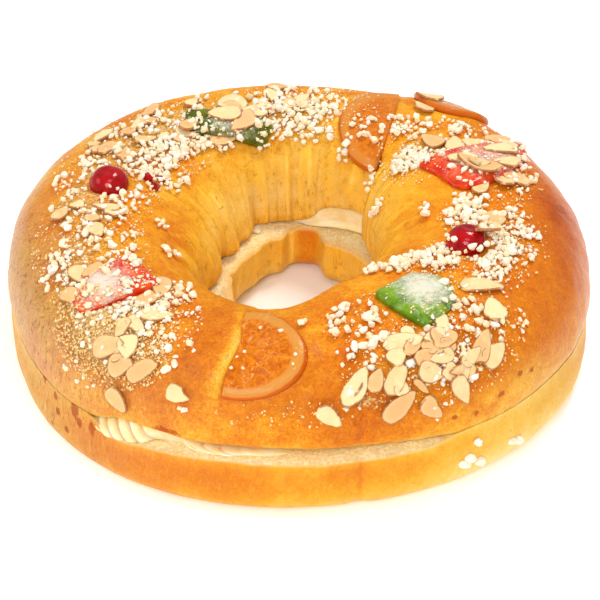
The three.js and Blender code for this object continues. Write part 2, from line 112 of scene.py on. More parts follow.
base = {
    "inset": 1.4,
    "footOuter": 10,
    "footInner": 8,
    "footRound": 14,
    "notch": (86, 11.5, 4, 12),
    "creases": [(281.3, 1.8, 1.3, 0), (160, 3, 0, 1.8), (20, 4, 0, 1.6), (106, 12, 0, 5)],
    "turnSteps": 600,
    "sides": 92,
    "lumps": [(36, 0.7), (12, 0.3), (4, 0.1)],  # wavelength and height
}


@functools.lru_cache(maxsize=None)
def baseRadius(turn, side):
    crease = sum((outer if side > 0 else inner) * bell(apart(turn, at), span)
                 for at, span, outer, inner in base["creases"])
    at, span, steepness, depth = base["notch"]
    inner = ringRadius("baseHole", turn) + depth * bell(apart(turn, at), span, steepness) + crease
    return ringRadius("outline", turn) - base["inset"] - crease if side > 0 else inner


def shareAt(turn, radius):
    inner = baseRadius(turn, -1)
    return min(1, max(0, (radius - inner) / (baseRadius(turn, 1) - inner)))


def seatHeight(turn, radius):
    share = shareAt(turn, radius)
    return cutHeight(turn, share) + fillingHeight(turn, share)


lid = {
    "under": 16,
    "tuckLeast": 1.6,
    "tuckInner": 1.2,
    "frontTuck": (267, 24, 9.5),
    "fullTuck": 4,
    "swellings": [  # turn, climb, span before and after it, span up the section, rise
        (22, 150, 25, 25, 34, 6.5), (66, 150, 10, 10, 30, 3.6), (254.6, 66, 13, 1.6, 44, 4.2),
        (172, 176, 14, 14, 24, 3.5), (157, 172, 9, 9, 24, 2.4), (139, 172, 8, 8, 26, 4.2),
        (122, 172, 7, 7, 24, 3.2), (112, 176, 4, 4, 20, -3.2), (58, 178, 9, 9, 17, -4.5),
        (262, 145, 15, 15, 40, -3.6),
        (292, 145, 12, 12, 30, 2), (197, 60, 26, 26, 40, 1.6), (300, 40, 24, 24, 40, 1.4),
        (118, 70, 22, 22, 40, 1.5), (51, 160, 4.2, 4.2, 34, -4.8), (89, 172, 2.6, 2.6, 26, -2),
        (79, 168, 2.6, 2.6, 24, -1.6), (281.3, 6, 1.8, 1.8, 22, -1.1), (137, 192, 11, 11, 18, 7),
        (121, 192, 7, 7, 18, 4.5), (178, 192, 11, 11, 18, 4.5), (26, 186, 20, 20, 20, 1.8),
        (46, 176, 9, 9, 24, 1.8), (292, 122, 20, 20, 22, 2),
    ],
    "turnSteps": 640,
    "sides": 132,
    "crustShare": 0.83,
    "lumps": [(34, 0.7), (12, 0.42), (5, 0.16)],
    "shrink": 1.1,  # keeps the lumps inside the CAD solid
    "streak": 1.1,
    "pleats": [  # turn, span and rise of the single folds in the hole's wall
        (104, 1.1, -1.2), (99.5, 0.8, -1.0), (95, 1.0, 0.9), (92, 0.7, -1.3), (88.5, 0.8, 0.8),
        (84, 1.1, 1.0), (120, 0.9, -0.8), (131, 1.1, -1.0), (146, 0.9, -0.8), (164, 1.2, -0.9),
        (69, 1.2, -0.7),
    ],
    "fruitRim": 0.9,  # how far the dough rises round a piece of fruit
    "sliceRidge": (253, 2.0, 64, 34, 2.2),  # the dough beside the front slice: turn, span, climb, span, rise
    "fold": (254.4, 2.2, 2.0),  # the edge of dough over the front slice: turn, span and reach in degrees
}


@functools.lru_cache(maxsize=None)
def sectionAt(turn):
    # what the lid's section needs at one turn
    outer = ringRadius("outline", turn)
    inner = ringRadius("lidHole", turn)
    belly = cake["belly"] - cake["bellyLean"] * math.sin(math.radians(turn))
    middle = (outer + inner) / 2 + cake["crownShift"]
    section = {"outer": outer, "inner": inner, "belly": belly, "middle": middle}
    at, span, depth = lid["frontTuck"]
    for side, most in ((1, lid["tuckLeast"] + depth * bell(apart(turn, at), span)), (-1, lid["tuckInner"])):
        share = 1 if side > 0 else 0
        edge = cutHeight(turn, share) + fillingHeight(turn, share)
        lifted = max(0, (edge - belly) / (cake["crown"] - belly))
        climb = math.degrees(math.asin(lifted ** (cake["roundness"] / 2))) if lifted else -lid["under"]
        tuck = most * min(1, max(0, (belly - edge) / lid["fullTuck"]))
        section[side] = {"edge": edge, "climb": climb, "tuck": tuck}
    section["swells"] = []
    for at, climb, before, after, spanClimb, rise in lid["swellings"]:
        past = apart(turn, at)
        amount = rise * bell(past, after if past > 0 else before)
        if abs(amount) > 0.003:
            section["swells"].append((climb, spanClimb, amount))
    return section


def lidPoint(turn, climb, extra=0):
    # a point of the lid's crust, pushed out by extra
    section = sectionAt(turn)
    along = math.cos(math.radians(climb))
    up = math.sin(math.radians(climb))
    power = 2 / cake["roundness"]
    side = section[1 if along > 0 else -1]
    reach = section["outer"] - section["middle"] if along > 0 else section["middle"] - section["inner"]
    under = max(0, -up) / math.sin(math.radians(lid["under"]))
    rise = (cake["crown"] - section["belly"]) * max(0, up) ** power
    drop = max(0, section["belly"] - side["edge"])
    outward = math.copysign(abs(along) ** power, along) * (reach - side["tuck"] * under * under)
    swell = extra + sum(amount * bell(climb - at, span) for at, span, amount in section["swells"])
    swell /= math.hypot(outward, rise)
    height = section["belly"] - drop * under + rise * (1 + swell)
    return polar(turn, section["middle"] + outward * (1 + swell), height)


def crustFrame(turn, climb):
    # a place on the crust: the point and the directions along the ring, up the section and out
    at = lidPoint(turn, climb)
    along = (lidPoint(turn + 0.5, climb) - at).normalized()
    up = (lidPoint(turn, climb + 0.5) - at).normalized()
    out = along.cross(up).normalized()
    return at, along, out.cross(along), out


def onCrust(place, x, y, lift):
    # a point at x along the ring and y up the section from a piece's place
    spin = math.radians(place.get("spin", 0))
    alongRing = x * math.cos(spin) - y * math.sin(spin)
    upSection = x * math.sin(spin) + y * math.cos(spin)
    here = lidPoint(place["turn"], place["climb"])
    sectionRadius = (cake["outline"][0] - cake["lidHole"][0]) / 2
    turn = place["turn"] + math.degrees(alongRing / math.hypot(here.x, here.y))
    climb = place["climb"] + math.degrees(upSection / sectionRadius)
    at, along, up, out = crustFrame(turn, climb)
    return at + out * lift


def fromPlace(place, turn, climb):
    # the other way: where a place on the crust lies from a piece, along and up, in the piece's own turn
    here = lidPoint(place["turn"], place["climb"])
    sectionRadius = (cake["outline"][0] - cake["lidHole"][0]) / 2
    x = math.radians(apart(turn, place["turn"])) * math.hypot(here.x, here.y)
    y = math.radians(climb - place["climb"]) * sectionRadius
    spin = math.radians(place.get("spin", 0))
    return x * math.cos(spin) + y * math.sin(spin), y * math.cos(spin) - x * math.sin(spin)


orangeSlice = {"thick": 4.2, "steps": 120}
slices = {  # hidden is how far past its middle a slice runs before the dough cuts it off
    "orange_slice_front": {
        "turn": 259.2, "climb": 65, "spin": 0, "radius": 28.5, "hidden": 5.8, "lift": 0.8, "aged": 0,
    },
    "orange_slice_back": {
        "turn": 55.7, "climb": 107, "spin": 21, "radius": 28, "hidden": 0.5, "lift": 1.2, "aged": 0.5,
    },
    "orange_slice_far": {
        "turn": 52, "climb": 50, "spin": -90, "radius": 22, "hidden": 22, "lift": 1.2, "aged": 0.8,
    },
}
cherry = {"radius": 9.8, "squash": 0.92, "lift": 0.4}
cherries = {"cherry_left": {"turn": 172, "climb": 92}, "cherry_right": {"turn": 333.5, "climb": 95}}
cutPiece = {"thick": 7.5, "lift": 1.1, "corners": 9, "flatTop": 0.6, "bluntEdge": 0.8}
cutFruit = {  # sides are facings in degrees and distances, frost is where it lies, its span and amount
    "candied_green_back": {
        "turn": 114.5, "climb": 112, "sides": [(-32, 23), (58, 9), (148, 22), (238, 8)],
        "frost": (0, 0, 12, 0.6),
    },
    "candied_green_front": {
        "turn": 303, "climb": 84, "sides": [(202, 14), (286, 11.6), (327, 13.8), (46, 17), (95, 14.3)],
        "frost": (3, 4, 13, 0.9),
    },
    "candied_red_left": {
        "turn": 221, "climb": 81, "sides": [(-21, 12.5), (88, 17.5), (195, 10.5), (265, 22)],
        "frost": (1, -4, 12, 0.9),
    },
    "candied_red_right": {
        "turn": 18.5, "climb": 89, "sides": [(106, 19), (222, 13), (-5, 17), (-75, 31), (160, 25)],
        "frost": (0, -2, 15, 0.6),
    },
}


def edgeDistance(sides, angle):
    total = sum((max(0, math.cos(angle - math.radians(facing))) / distance) ** cutPiece["corners"]
                for facing, distance in sides)
    return total ** (-1 / cutPiece["corners"])


@functools.lru_cache(maxsize=None)
def fruitNear(turn):
    # the fruit close enough to a turn to matter there
    pieces = [("slice", p) for p in slices.values()]
    pieces += [("cherry", p) for p in cherries.values()]
    pieces += [("cut", p) for p in cutFruit.values()]
    return [(kind, p) for kind, p in pieces if abs(apart(turn, p["turn"])) < 27]


def fruitDistance(turn, climb):
    # how far a place on the crust is from the edge of the nearest fruit, below 0 under it
    nearest = 99
    for kind, piece in fruitNear(turn):
        x, y = fromPlace(piece, turn, climb)
        away = math.hypot(x, y)
        if kind == "slice":
            distance = max(away - piece["radius"], -piece["hidden"] - x)
        elif kind == "cherry":
            distance = away - cherry["radius"]
        else:
            distance = away - edgeDistance(piece["sides"], math.atan2(y, x))
        nearest = min(nearest, distance)
    return nearest


def relief(point, lumps):
    return sum(height * noise.noise(point / wave) for wave, height in lumps)


def sweptRing(steps, sides, layers, placeAt):
    # a circle spun round the middle and divided, whose vertices then go where placeAt says
    bm = bmesh.new()
    marks = [bm.verts.layers.float.new(name) for name in layers]
    bmesh.ops.create_circle(bm, radius=1, segments=sides)
    bmesh.ops.rotate(bm, verts=bm.verts, cent=(0, 0, 0), matrix=Matrix.Rotation(math.pi / 2, 3, "X"))
    bmesh.ops.translate(bm, verts=bm.verts, vec=(3, 0, 0))
    bmesh.ops.spin(bm, geom=bm.verts[:] + bm.edges[:], cent=(0, 0, 0), axis=(0, 0, 1),
                   angle=math.tau, steps=steps // 10, use_merge=True)
    along = [edge for edge in bm.edges if abs(edge.verts[0].co.z - edge.verts[1].co.z) < 1e-5
             and abs(edge.verts[0].co.xy.length - edge.verts[1].co.xy.length) < 1e-5]
    bmesh.ops.subdivide_edges(bm, edges=along, cuts=9, use_grid_fill=True)
    for vert in bm.verts:
        x, y, z = vert.co
        turn = round(math.atan2(y, x) / math.tau * steps) % steps * 360 / steps
        share = round(math.atan2(z, math.hypot(x, y) - 3) / math.tau * sides) % sides / sides
        point, values = placeAt(turn, share)
        vert.co = inScene(point)
        for mark, value in zip(marks, values):
            vert[mark] = value
    bmesh.ops.recalc_face_normals(bm, faces=bm.faces)
    return bm


def makePiece(name, bm, finish, nodes=(), smoothShade=True):
    # a finished piece from its bmesh, riding on the cake's one body
    mesh = bpy.data.meshes.new(name)
    bm.to_mesh(mesh)
    bm.free()
    for polygon in mesh.polygons:
        polygon.use_smooth = smoothShade
    piece = bpy.data.objects.new(name, mesh)
    bpy.context.scene.collection.objects.link(piece)
    mesh.materials.append(finish)
    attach(piece, "root")
    if nodes:
        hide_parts(*nodes)
    print(name, "made,", len(mesh.polygons), "faces")
    return piece


# Shader maths as Python expressions.
class Value:
    def __init__(self, finish, socket):
        self.finish = finish
        self.socket = socket

    def join(self, operation, first, second):
        return self.finish.node("ShaderNodeMath", {"operation": operation}, {0: first, 1: second})

    def __add__(self, other):
        return self.join("ADD", self, other)

    def __radd__(self, other):
        return self.join("ADD", other, self)

    def __sub__(self, other):
        return self.join("SUBTRACT", self, other)

    def __rsub__(self, other):
        return self.join("SUBTRACT", other, self)

    def __mul__(self, other):
        return self.join("MULTIPLY", self, other)

    def __rmul__(self, other):
        return self.join("MULTIPLY", other, self)

    def clamped(self, low=0, high=1):
        return self.join("MAXIMUM", self.join("MINIMUM", self, high), low)


class Finish:
    # one material and the nodes it is made of
    def __init__(self, name, **fixed):
        self.material = bpy.data.materials.new(name)
        self.material.use_nodes = True
        self.tree = self.material.node_tree
        self.shader = self.tree.nodes["Principled BSDF"]
        for key, value in fixed.items():
            self.shader.inputs[key.replace("_", " ")].default_value = value
        self.place = self.node("ShaderNodeTexCoord", output="Object")

    def node(self, kind, settings=None, inputs=None, output=0):
        made = self.tree.nodes.new(kind)
        for key, value in (settings or {}).items():
            if key == "stops":
                while len(made.color_ramp.elements) < len(value):
                    made.color_ramp.elements.new(1)
                for element, (position, colour) in zip(made.color_ramp.elements, value):
                    element.position = position
                    element.color = colour
            else:
                setattr(made, key, value)
        for key, value in (inputs or {}).items():
            if isinstance(value, Value):
                self.tree.links.new(value.socket, made.inputs[key])
            else:
                made.inputs[key].default_value = value
        return Value(self, made.outputs[output])

    def attribute(self, name):
        return self.node("ShaderNodeAttribute", {"attribute_name": name}, output="Fac")

    def grain(self, size, detail=3, roughness=0.55, place=None, distortion=0):
        # noise with features of a size in millimetres
        inputs = {"Vector": place or self.place, "Scale": 1000 / size, "Detail": detail,
                  "Roughness": roughness, "Distortion": distortion}
        return self.node("ShaderNodeTexNoise", inputs=inputs)

    def cells(self, size):
        # how far away the middle of the nearest cell is
        inputs = {"Vector": self.place, "Scale": 1000 / size}
        return self.node("ShaderNodeTexVoronoi", inputs=inputs, output="Distance")

    def step(self, value, low, high):
        settings = {"interpolation_type": "SMOOTHSTEP"}
        return self.node("ShaderNodeMapRange", settings, {"Value": value, "From Min": low, "From Max": high})

    def mixed(self, share, under, over):
        return self.node("ShaderNodeMix", {"data_type": "RGBA"}, {0: share, 6: under, 7: over}, 2)

    def ramp(self, value, stops):
        return self.node("ShaderNodeValToRGB", {"stops": stops}, {"Fac": value})

    def stretched(self, x, y, z):
        # the place on the object with its axes scaled, for streaks
        return self.node("ShaderNodeMapping", inputs={"Vector": self.place, "Scale": (x, y, z)})

    def bump(self, height, distance, strength=1.0, under=None):
        # distance is the height of the relief in millimetres
        inputs = {"Height": height, "Distance": distance / 1000, "Strength": strength}
        if under:
            inputs["Normal"] = under
        return self.node("ShaderNodeBump", inputs=inputs)

    def wear(self, **sockets):
        for key, value in sockets.items():
            self.tree.links.new(value.socket, self.shader.inputs[key.replace("_", " ")])
        return self.material


def paint(red, green, blue):
    # a screen colour as the linear one that a shader takes
    parts = [part / 255 for part in (red, green, blue)]
    return (*[p / 12.92 if p <= 0.04045 else ((p + 0.055) / 1.055) ** 2.4 for p in parts], 1)


# Crust and crumb share a material, because the cut edge of the dough blends from one to the other.
crustLook = {
    "milk": paint(248, 218, 140),
    "pale": paint(240, 192, 80),
    "gold": paint(232, 166, 34),
    "amber": paint(217, 122, 5),
    "brown": paint(184, 78, 2),
    "dark": paint(118, 40, 2),
    "tan": paint(226, 164, 104),
    "stretched": paint(255, 196, 56),
    "sand": paint(246, 214, 146),
    "sandDeep": paint(230, 174, 88),
    "crumb": paint(255, 242, 194),
    "crumbDeep": paint(254, 212, 128),
    "scorch": paint(176, 62, 2),
}


def makeCrustFinish():
    finish = Finish("bakedCrust", Subsurface_Weight=0.1, Subsurface_Radius=(1, 0.45, 0.15),
                    Subsurface_Scale=0.002, Coat_Roughness=0.2, IOR=1.4, Specular_IOR_Level=0.07)
    bake = finish.attribute("bake")
    sandy = finish.attribute("sandy")
    shine = finish.attribute("shine")
    crumb = finish.attribute("crumb")
    stretch = finish.attribute("stretch")
    scorch = finish.attribute("scorch")
    wrinkle = finish.attribute("wrinkle")
    blotch = finish.grain(26, 3, 0.6)
    mottle = finish.grain(6, 4, 0.62, distortion=0.5)
    speck = finish.grain(1.5, 3, 0.65)
    pits = finish.grain(0.8, 2, 0.7)
    uneven = (blotch - 0.5) * 0.7 + (mottle - 0.5) * 0.42 + (speck - 0.5) * 0.5 + (pits - 0.5) * 0.4
    tone = bake + uneven * (1 - finish.attribute("calm"))
    look = crustLook
    crust = finish.ramp(tone, [(0, look["milk"]), (0.16, look["pale"]), (0.32, look["gold"]),
                               (0.52, look["amber"]), (0.8, look["brown"]), (1, look["dark"])])
    # Wrinkled crust on the left turns tan: partly its own colour, partly a painted highlight from light
    # bounced off the floor.
    tan = (wrinkle * (0.35 + mottle * 0.7)).clamped()
    crust = finish.mixed(tan, crust, look["tan"])
    # Stretched dough turns yellow: partly its own colour, partly a painted highlight where the stretch rides
    # the folds' ridges. The milk-coloured stretch highlight is a painted highlight.
    streaks = finish.grain(5, 3, 0.6, finish.stretched(1, 1, 0.2), 0.3)
    pulled = finish.step(streaks + (stretch - 0.5) * 0.7, 0.42, 0.9) * finish.step(stretch, 0.1, 0.6)
    crust = finish.mixed(pulled * 0.75, crust, look["stretched"])
    stretchHighlight = finish.step(stretch + (streaks - 0.5) * 0.6 + (mottle - 0.5) * 0.8, 0.84, 1.1)
    crust = finish.mixed(stretchHighlight * 0.4, crust, look["milk"])
    # Thin brown lines in the stretched dough are painted shade in the grooves that the bump sinks along
    # them.
    split = finish.node("ShaderNodeMath", {"operation": "ABSOLUTE"}, {0: streaks - 0.46})
    grooveShade = (1 - finish.step(split, 0, 0.012)) * stretch * finish.step(mottle, 0.46, 0.62)
    crust = finish.mixed(grooveShade * 0.25, crust, look["brown"])
    # Along the wrinkles, brown in the grooves is a painted shadow and sand colour on the crests is a painted
    # highlight.
    lines = finish.grain(2.2, 4, 0.62, finish.stretched(1.5, 1.5, 0.45), 1.2)
    wrinkleShading = finish.step(wrinkle, 0.1, 0.7) * 0.8 + 0.2
    wrinkleShadow = (1 - finish.step(lines, 0.3, 0.42)) * wrinkleShading
    crust = finish.mixed(wrinkleShadow * 0.7, crust, look["brown"])
    wrinkleHighlight = finish.step(lines, 0.56, 0.7) * wrinkleShading
    crust = finish.mixed(wrinkleHighlight * 0.55, crust, look["sand"])
    pores = 1 - finish.step(finish.cells(3.0), 0.05, 0.19)
    freckle = pores * finish.step(finish.grain(9, 2), 0.5, 0.66)
    crust = finish.mixed(freckle * 0.55, crust, look["brown"])
    charred = finish.step(scorch + (speck - 0.5) * 0.7 + (mottle - 0.5) * 0.5, 0.3, 0.5)
    burnt = charred * finish.step(scorch, 0.05, 0.2)
    crust = finish.mixed(burnt * 0.8, crust, look["scorch"])
    coarse = finish.grain(1.3, 3, 0.7)
    dusted = finish.step(sandy + (coarse - 0.5) * 1.7 + (mottle - 0.5) * 0.9, 0.46, 0.72)
    dusted = dusted * finish.step(sandy, 0.02, 0.2)
    sand = finish.mixed(finish.step(pits, 0.35, 0.65), look["sandDeep"], look["sand"])
    crust = finish.mixed(dusted * 0.85, crust, sand)
    holes = finish.step(finish.grain(1.5, 4, 0.65), 0.34, 0.58)
    airy = finish.step(finish.grain(5, 3, 0.6), 0.4, 0.66)
    inside = finish.mixed(holes * 0.75 + airy * 0.25, look["crumbDeep"], look["crumb"])
    colour = finish.mixed(crumb, crust, inside)
    gloss = 0.44 + (mottle - 0.5) * 0.3 + (speck - 0.5) * 0.2 + wrinkle * 0.12
    roughness = gloss * (1 - crumb) + 0.85 * crumb
    relieved = pits * 0.35 + speck * 0.3 + mottle * 0.6 - burnt * 0.6 + dusted * coarse * 0.9
    skin = finish.bump(relieved, 0.6, 0.9)
    creased = finish.bump((lines - wrinkleShadow * 0.4) * wrinkle - grooveShade * 0.4, 2.0, 1.0, skin)
    rough = finish.bump(holes * crumb, 0.6, 0.6, creased)
    coat = (1 - crumb) * (1 - dusted * 0.8) * (0.04 + shine * 0.34)
    return finish.wear(Base_Color=colour, Roughness=roughness, Coat_Weight=coat, Normal=rough)


crustFinish = makeCrustFinish()

# Where the crust is darker or paler: turn, climb, spans and amount. Most follow the baking; those down the
# hole's walls are painted shade and painted light, and the pale one low on the right (314, 8) is partly a
# painted highlight.
lidBake = {
    "ground": 0.45,
    "patches": [
        (270, 25, 30, 24, 0.2), (280, 70, 40, 24, 0.06), (310, 20, 24, 24, 0.1), (350, 25, 34, 36, 0.18),
        (30, 30, 30, 36, 0.16), (250, 75, 14, 30, 0.04), (195, 25, 34, 34, -0.1), (200, 150, 50, 36, -0.02),
        (80, 140, 60, 34, -0.18), (150, 150, 40, 34, -0.12), (262, 130, 22, 30, -0.02),
        (300, 120, 20, 26, 0.02), (20, 135, 26, 26, -0.06), (245, 40, 14, 26, 0.03),
        (290, 75, 16, 22, 0.06), (100, 80, 50, 30, -0.06),
        (230, 90, 24, 24, 0.02), (354, 56, 24, 24, 0.24), (233, 56, 10, 28, -0.1), (190, 136, 44, 20, 0.12),
        (95, 172, 34, 16, -0.14), (12, 158, 16, 16, -0.1), (252, 92, 9, 24, 0.03), (172, 52, 16, 18, 0.08),
        (314, 8, 24, 20, -0.22),
    ],
    "spots": [  # turn, climb and radius of blisters
        (313.8, 13, 2.0), (317, 10, 1.6), (309, 5, 2.0), (303.5, -1, 1.8), (299, 1, 1.9), (319.5, 39, 1.3),
    ],
    "gash": (247, 3.6, 4.2),  # turn and spans of the burnt tear over the piped cream
    "calmSide": (0, 50),  # where the crust is smoothest
    "dullFront": (272, 40),
    "wrinkled": (205, 34, 25, 40),  # turn, span, climb and span
    "foldLight": (254.7, 1.3, 60, 34),  # a painted highlight along the edge of dough over the front slice, which is paler stretched dough too
    "crease": (281.3, 0.45, 6, 20),
    "sandy": [
        (231, 50, 12, 26, 0.95), (206, 76, 16, 24, 0.6), (178, 84, 14, 22, 0.55), (150, 88, 20, 20, 0.6),
        (122, 98, 18, 18, 0.6), (90, 104, 20, 18, 0.55), (36, 112, 14, 20, 0.55), (298, 48, 12, 20, 0.45),
        (20, 84, 18, 16, 0.45), (338, 82, 12, 14, 0.5), (268, 24, 9, 10, 0.4), (283, 26, 4, 8, 0.6),
    ],
}


lidMarks = ("foldLight", "wrinkled", "crease")


def seamOpen(turn):
    # how far the cut shows from outside, 1 at the front and 0 where the crust closes over it
    return max(bell(apart(turn, 265.5), 34, 14), bell(apart(turn, 130), 30, 4))


def lipPush(turn, climb):
    # the lid's outer edge is drawn in where the cut shows, and elsewhere runs straight down to the base
    section = sectionAt(turn)[1]
    shown = seamOpen(turn)
    under = max(0, -math.sin(math.radians(climb))) / math.sin(math.radians(lid["under"]))
    filled = max(0, section["tuck"] - 0.1) * under * under
    return (1 - shown) * filled - 0.7 * shown * bell(climb - section["climb"], 4)


@functools.lru_cache(maxsize=None)
def seamRadius(turn):
    # how far out the lid's wall is just above its edge
    climb = sectionAt(turn)[1]["climb"] + 4
    push = relief(lidPoint(turn, climb), lid["lumps"]) - lid["shrink"] + lipPush(turn, climb)
    point = lidPoint(turn, climb, push)
    return math.hypot(point.x, point.y)


def lipWave(turn):
    # how far the torn edge of the lid hangs down or draws up
    wander = 1.1 * noise.noise(Vector((turn * 0.16, 0, 12))) + 0.8 * noise.noise(Vector((turn * 0.5, 0, 5)))
    return (wander + 0.4 * noise.noise(Vector((turn * 1.5, 0, 3)))) * seamOpen(turn)


def patchedValue(ground, patches, turn, climb):
    return ground + sum(amount * bell(apart(turn, at), spanTurn) * bell(climb - height, spanClimb)
                        for at, height, spanTurn, spanClimb, amount in patches)


def lidPlace(turn, share):
    section = sectionAt(turn)
    low, high = section[1]["climb"], 180 - section[-1]["climb"]
    if share <= lid["crustShare"]:
        climb = lerp(low, high, share / lid["crustShare"])
        flat = lidPoint(turn, climb)
        push = relief(flat, lid["lumps"]) - lid["shrink"]
        wall = smooth(108, 148, climb)
        folds = noise.noise(Vector((turn * 0.15 + climb * 0.004, climb * 0.022, 3)))
        folds += 0.45 * noise.noise(Vector((turn * 0.36 + climb * 0.012, climb * 0.03, 8)))
        pleated = sum(rise * bell(apart(turn, at), span) for at, span, rise in lid["pleats"])
        folds = lid["streak"] * folds + pleated
        push += wall * folds
        away = fruitDistance(turn, climb)
        push += lid["fruitRim"] * bell(away - 1.2, 3)
        at, span, height, spanClimb, rise = lid["sliceRidge"]
        push += rise * bell(apart(turn, at), span) * bell(climb - height, spanClimb, 4)
        atLip, atHole = bell(climb - low, 4), bell(climb - high, 3.5)
        push *= 1 - 0.7 * max(atLip * seamOpen(turn), atHole)
        push += lipPush(turn, climb) - 0.9 * atHole
        at, width, span = lidBake["gash"]
        gash = bell(apart(turn, at), width) * bell(climb + 1, span)
        push -= 1.2 * gash
        bake = patchedValue(lidBake["ground"], lidBake["patches"], turn, climb)
        sandy = patchedValue(0, lidBake["sandy"], turn, climb)
        at, span = lidBake["dullFront"]
        shine = (1 - smooth(30, 66, climb)) * (1 - 0.92 * bell(apart(turn, at), span, 4))
        # Paler just above the lid's lower edge, most at the front, and paler down the hole's wall, where the
        # paleness is painted light.
        bake -= 0.16 * bell(climb - low, 9) * bell(apart(turn, 270), 120) + 0.14 * smooth(130, 172, climb)
        scorch = 0.62 * gash
        for spotTurn, spotClimb, size in lidBake["spots"]:
            x = math.radians(apart(turn, spotTurn)) * 145
            y = math.radians(climb - spotClimb) * 48
            scorch = max(scorch, 0.8 * bell(math.hypot(x, y), size))
        fold, wrinkled, crease = (bell(apart(turn, at), span) * bell(climb - height, spanClimb)
                                  for at, span, height, spanClimb in map(lidBake.get, lidMarks))
        # stretch climbs on the ridges of the hole wall's folds and falls in their valleys: partly stretch
        # marks, partly painted highlight and shade. The fold over the front slice adds to it as a painted
        # highlight.
        stretch = min(1, wall * (0.25 + 0.75 * smooth(-0.7, 0.9, folds)) + 0.5 * fold)
        wrinkle = 0.05 + 0.95 * wrinkled + 0.05 * wall
        crumb = 0.75 * bell(climb - low, 2.4) * seamOpen(turn)
        # a little darker in the crease, a painted shade, and much paler along the fold over the front slice,
        # a painted highlight
        bake += 0.08 * crease - 0.42 * fold
        at, span, reach = lid["fold"]
        wander = 1 + 0.35 * math.sin(climb * 0.1 + 0.6) + 0.3 * noise.noise(Vector((climb / 16, 0, 4)))
        over = reach * wander * bell(apart(turn, at), span, 4) * bell(climb - 70, 36, 4)
        place = Matrix.Rotation(math.radians(over), 3, "Z") @ lidPoint(turn, climb, push - 0.5 * crease)
        place.z += lipWave(turn) * bell(climb - low, 7)
        at, span = lidBake["calmSide"]
        calm = 0.5 * wall + 0.4 * bell(apart(turn, at), span) * (1 - wall)
        return place, (bake, crumb, stretch, scorch, wrinkle, sandy, shine, calm)
    across = (share - lid["crustShare"]) / (1 - lid["crustShare"])
    inner, outer = lidPoint(turn, high, -0.9), lidPoint(turn, low, lipPush(turn, low))
    radius = lerp(math.hypot(inner.x, inner.y), math.hypot(outer.x, outer.y), across)
    nearLip = min(across, 1 - across)
    height = seatHeight(turn, radius) + 0.5 * smooth(0, 0.08, nearLip)
    height += lipWave(turn) * smooth(0.85, 1, across)
    point = polar(turn, radius, height)
    height += 0.45 * noise.noise(point / 2.6) + 0.3 * noise.noise(point / 6)
    return polar(turn, radius, height), (0.3, 1, 0, 0, 0, 0, 0, 0)


layers = ("bake", "crumb", "stretch", "scorch", "wrinkle", "sandy", "shine", "calm")
lidMesh = sweptRing(lid["turnSteps"], lid["sides"], layers, lidPlace)
makePiece("lidBread", lidMesh, crustFinish, ["bun_lid"])

baseBake = {
    "ground": 0.36,
    "patches": [  # turn, height, spans and amount
        # (316, 14) is a painted highlight on the right of the wall; (285, 2) is a paler foot at the front,
        # painted light bounced from the floor.
        (316, 14, 24, 22, -0.28), (285, 2, 60, 12, -0.14), (238, 14, 24, 20, 0.16),
    ],
    "spots": [  # turn, height and radius of blisters on the wall
        (220.7, 23.5, 2.2), (226, 29.5, 3.4), (223.5, 17.5, 2.2), (230.5, 25.5, 2.4), (227.3, 25.5, 2),
        (218.3, 13, 1.7), (219.7, 28.5, 1.9), (215.5, 31, 2.4),
    ],
    "marks": [  # turn, span and amount of darker and paler stripes down the outer wall: the thin dark one in the crease is painted shade, the broad pale one on the left is painted light
        (281.3, 0.5, 0.12), (205, 26, -0.14),
    ],
    "wrinkled": (215, 24),
    "rib": (92.5, 1.4, 1.6),  # turn, span of the pulled strand beside the notch, and span of the painted highlight along it
    "notched": (84.5, 7),
    "innerPaler": 0.16,
}


def footInset(height):
    low = max(0, 1 - height / base["footRound"]) ** 2.6
    return low - 0.06 * math.sin(math.pi * min(1, height / 30))


def rimWave(turn):
    # how uneven the base's rim is where the cut shows
    wander = 0.7 * noise.noise(Vector((turn * 0.3, 4, 0))) + 0.35 * noise.noise(Vector((turn * 1.2, 9, 0)))
    return wander * seamOpen(turn)


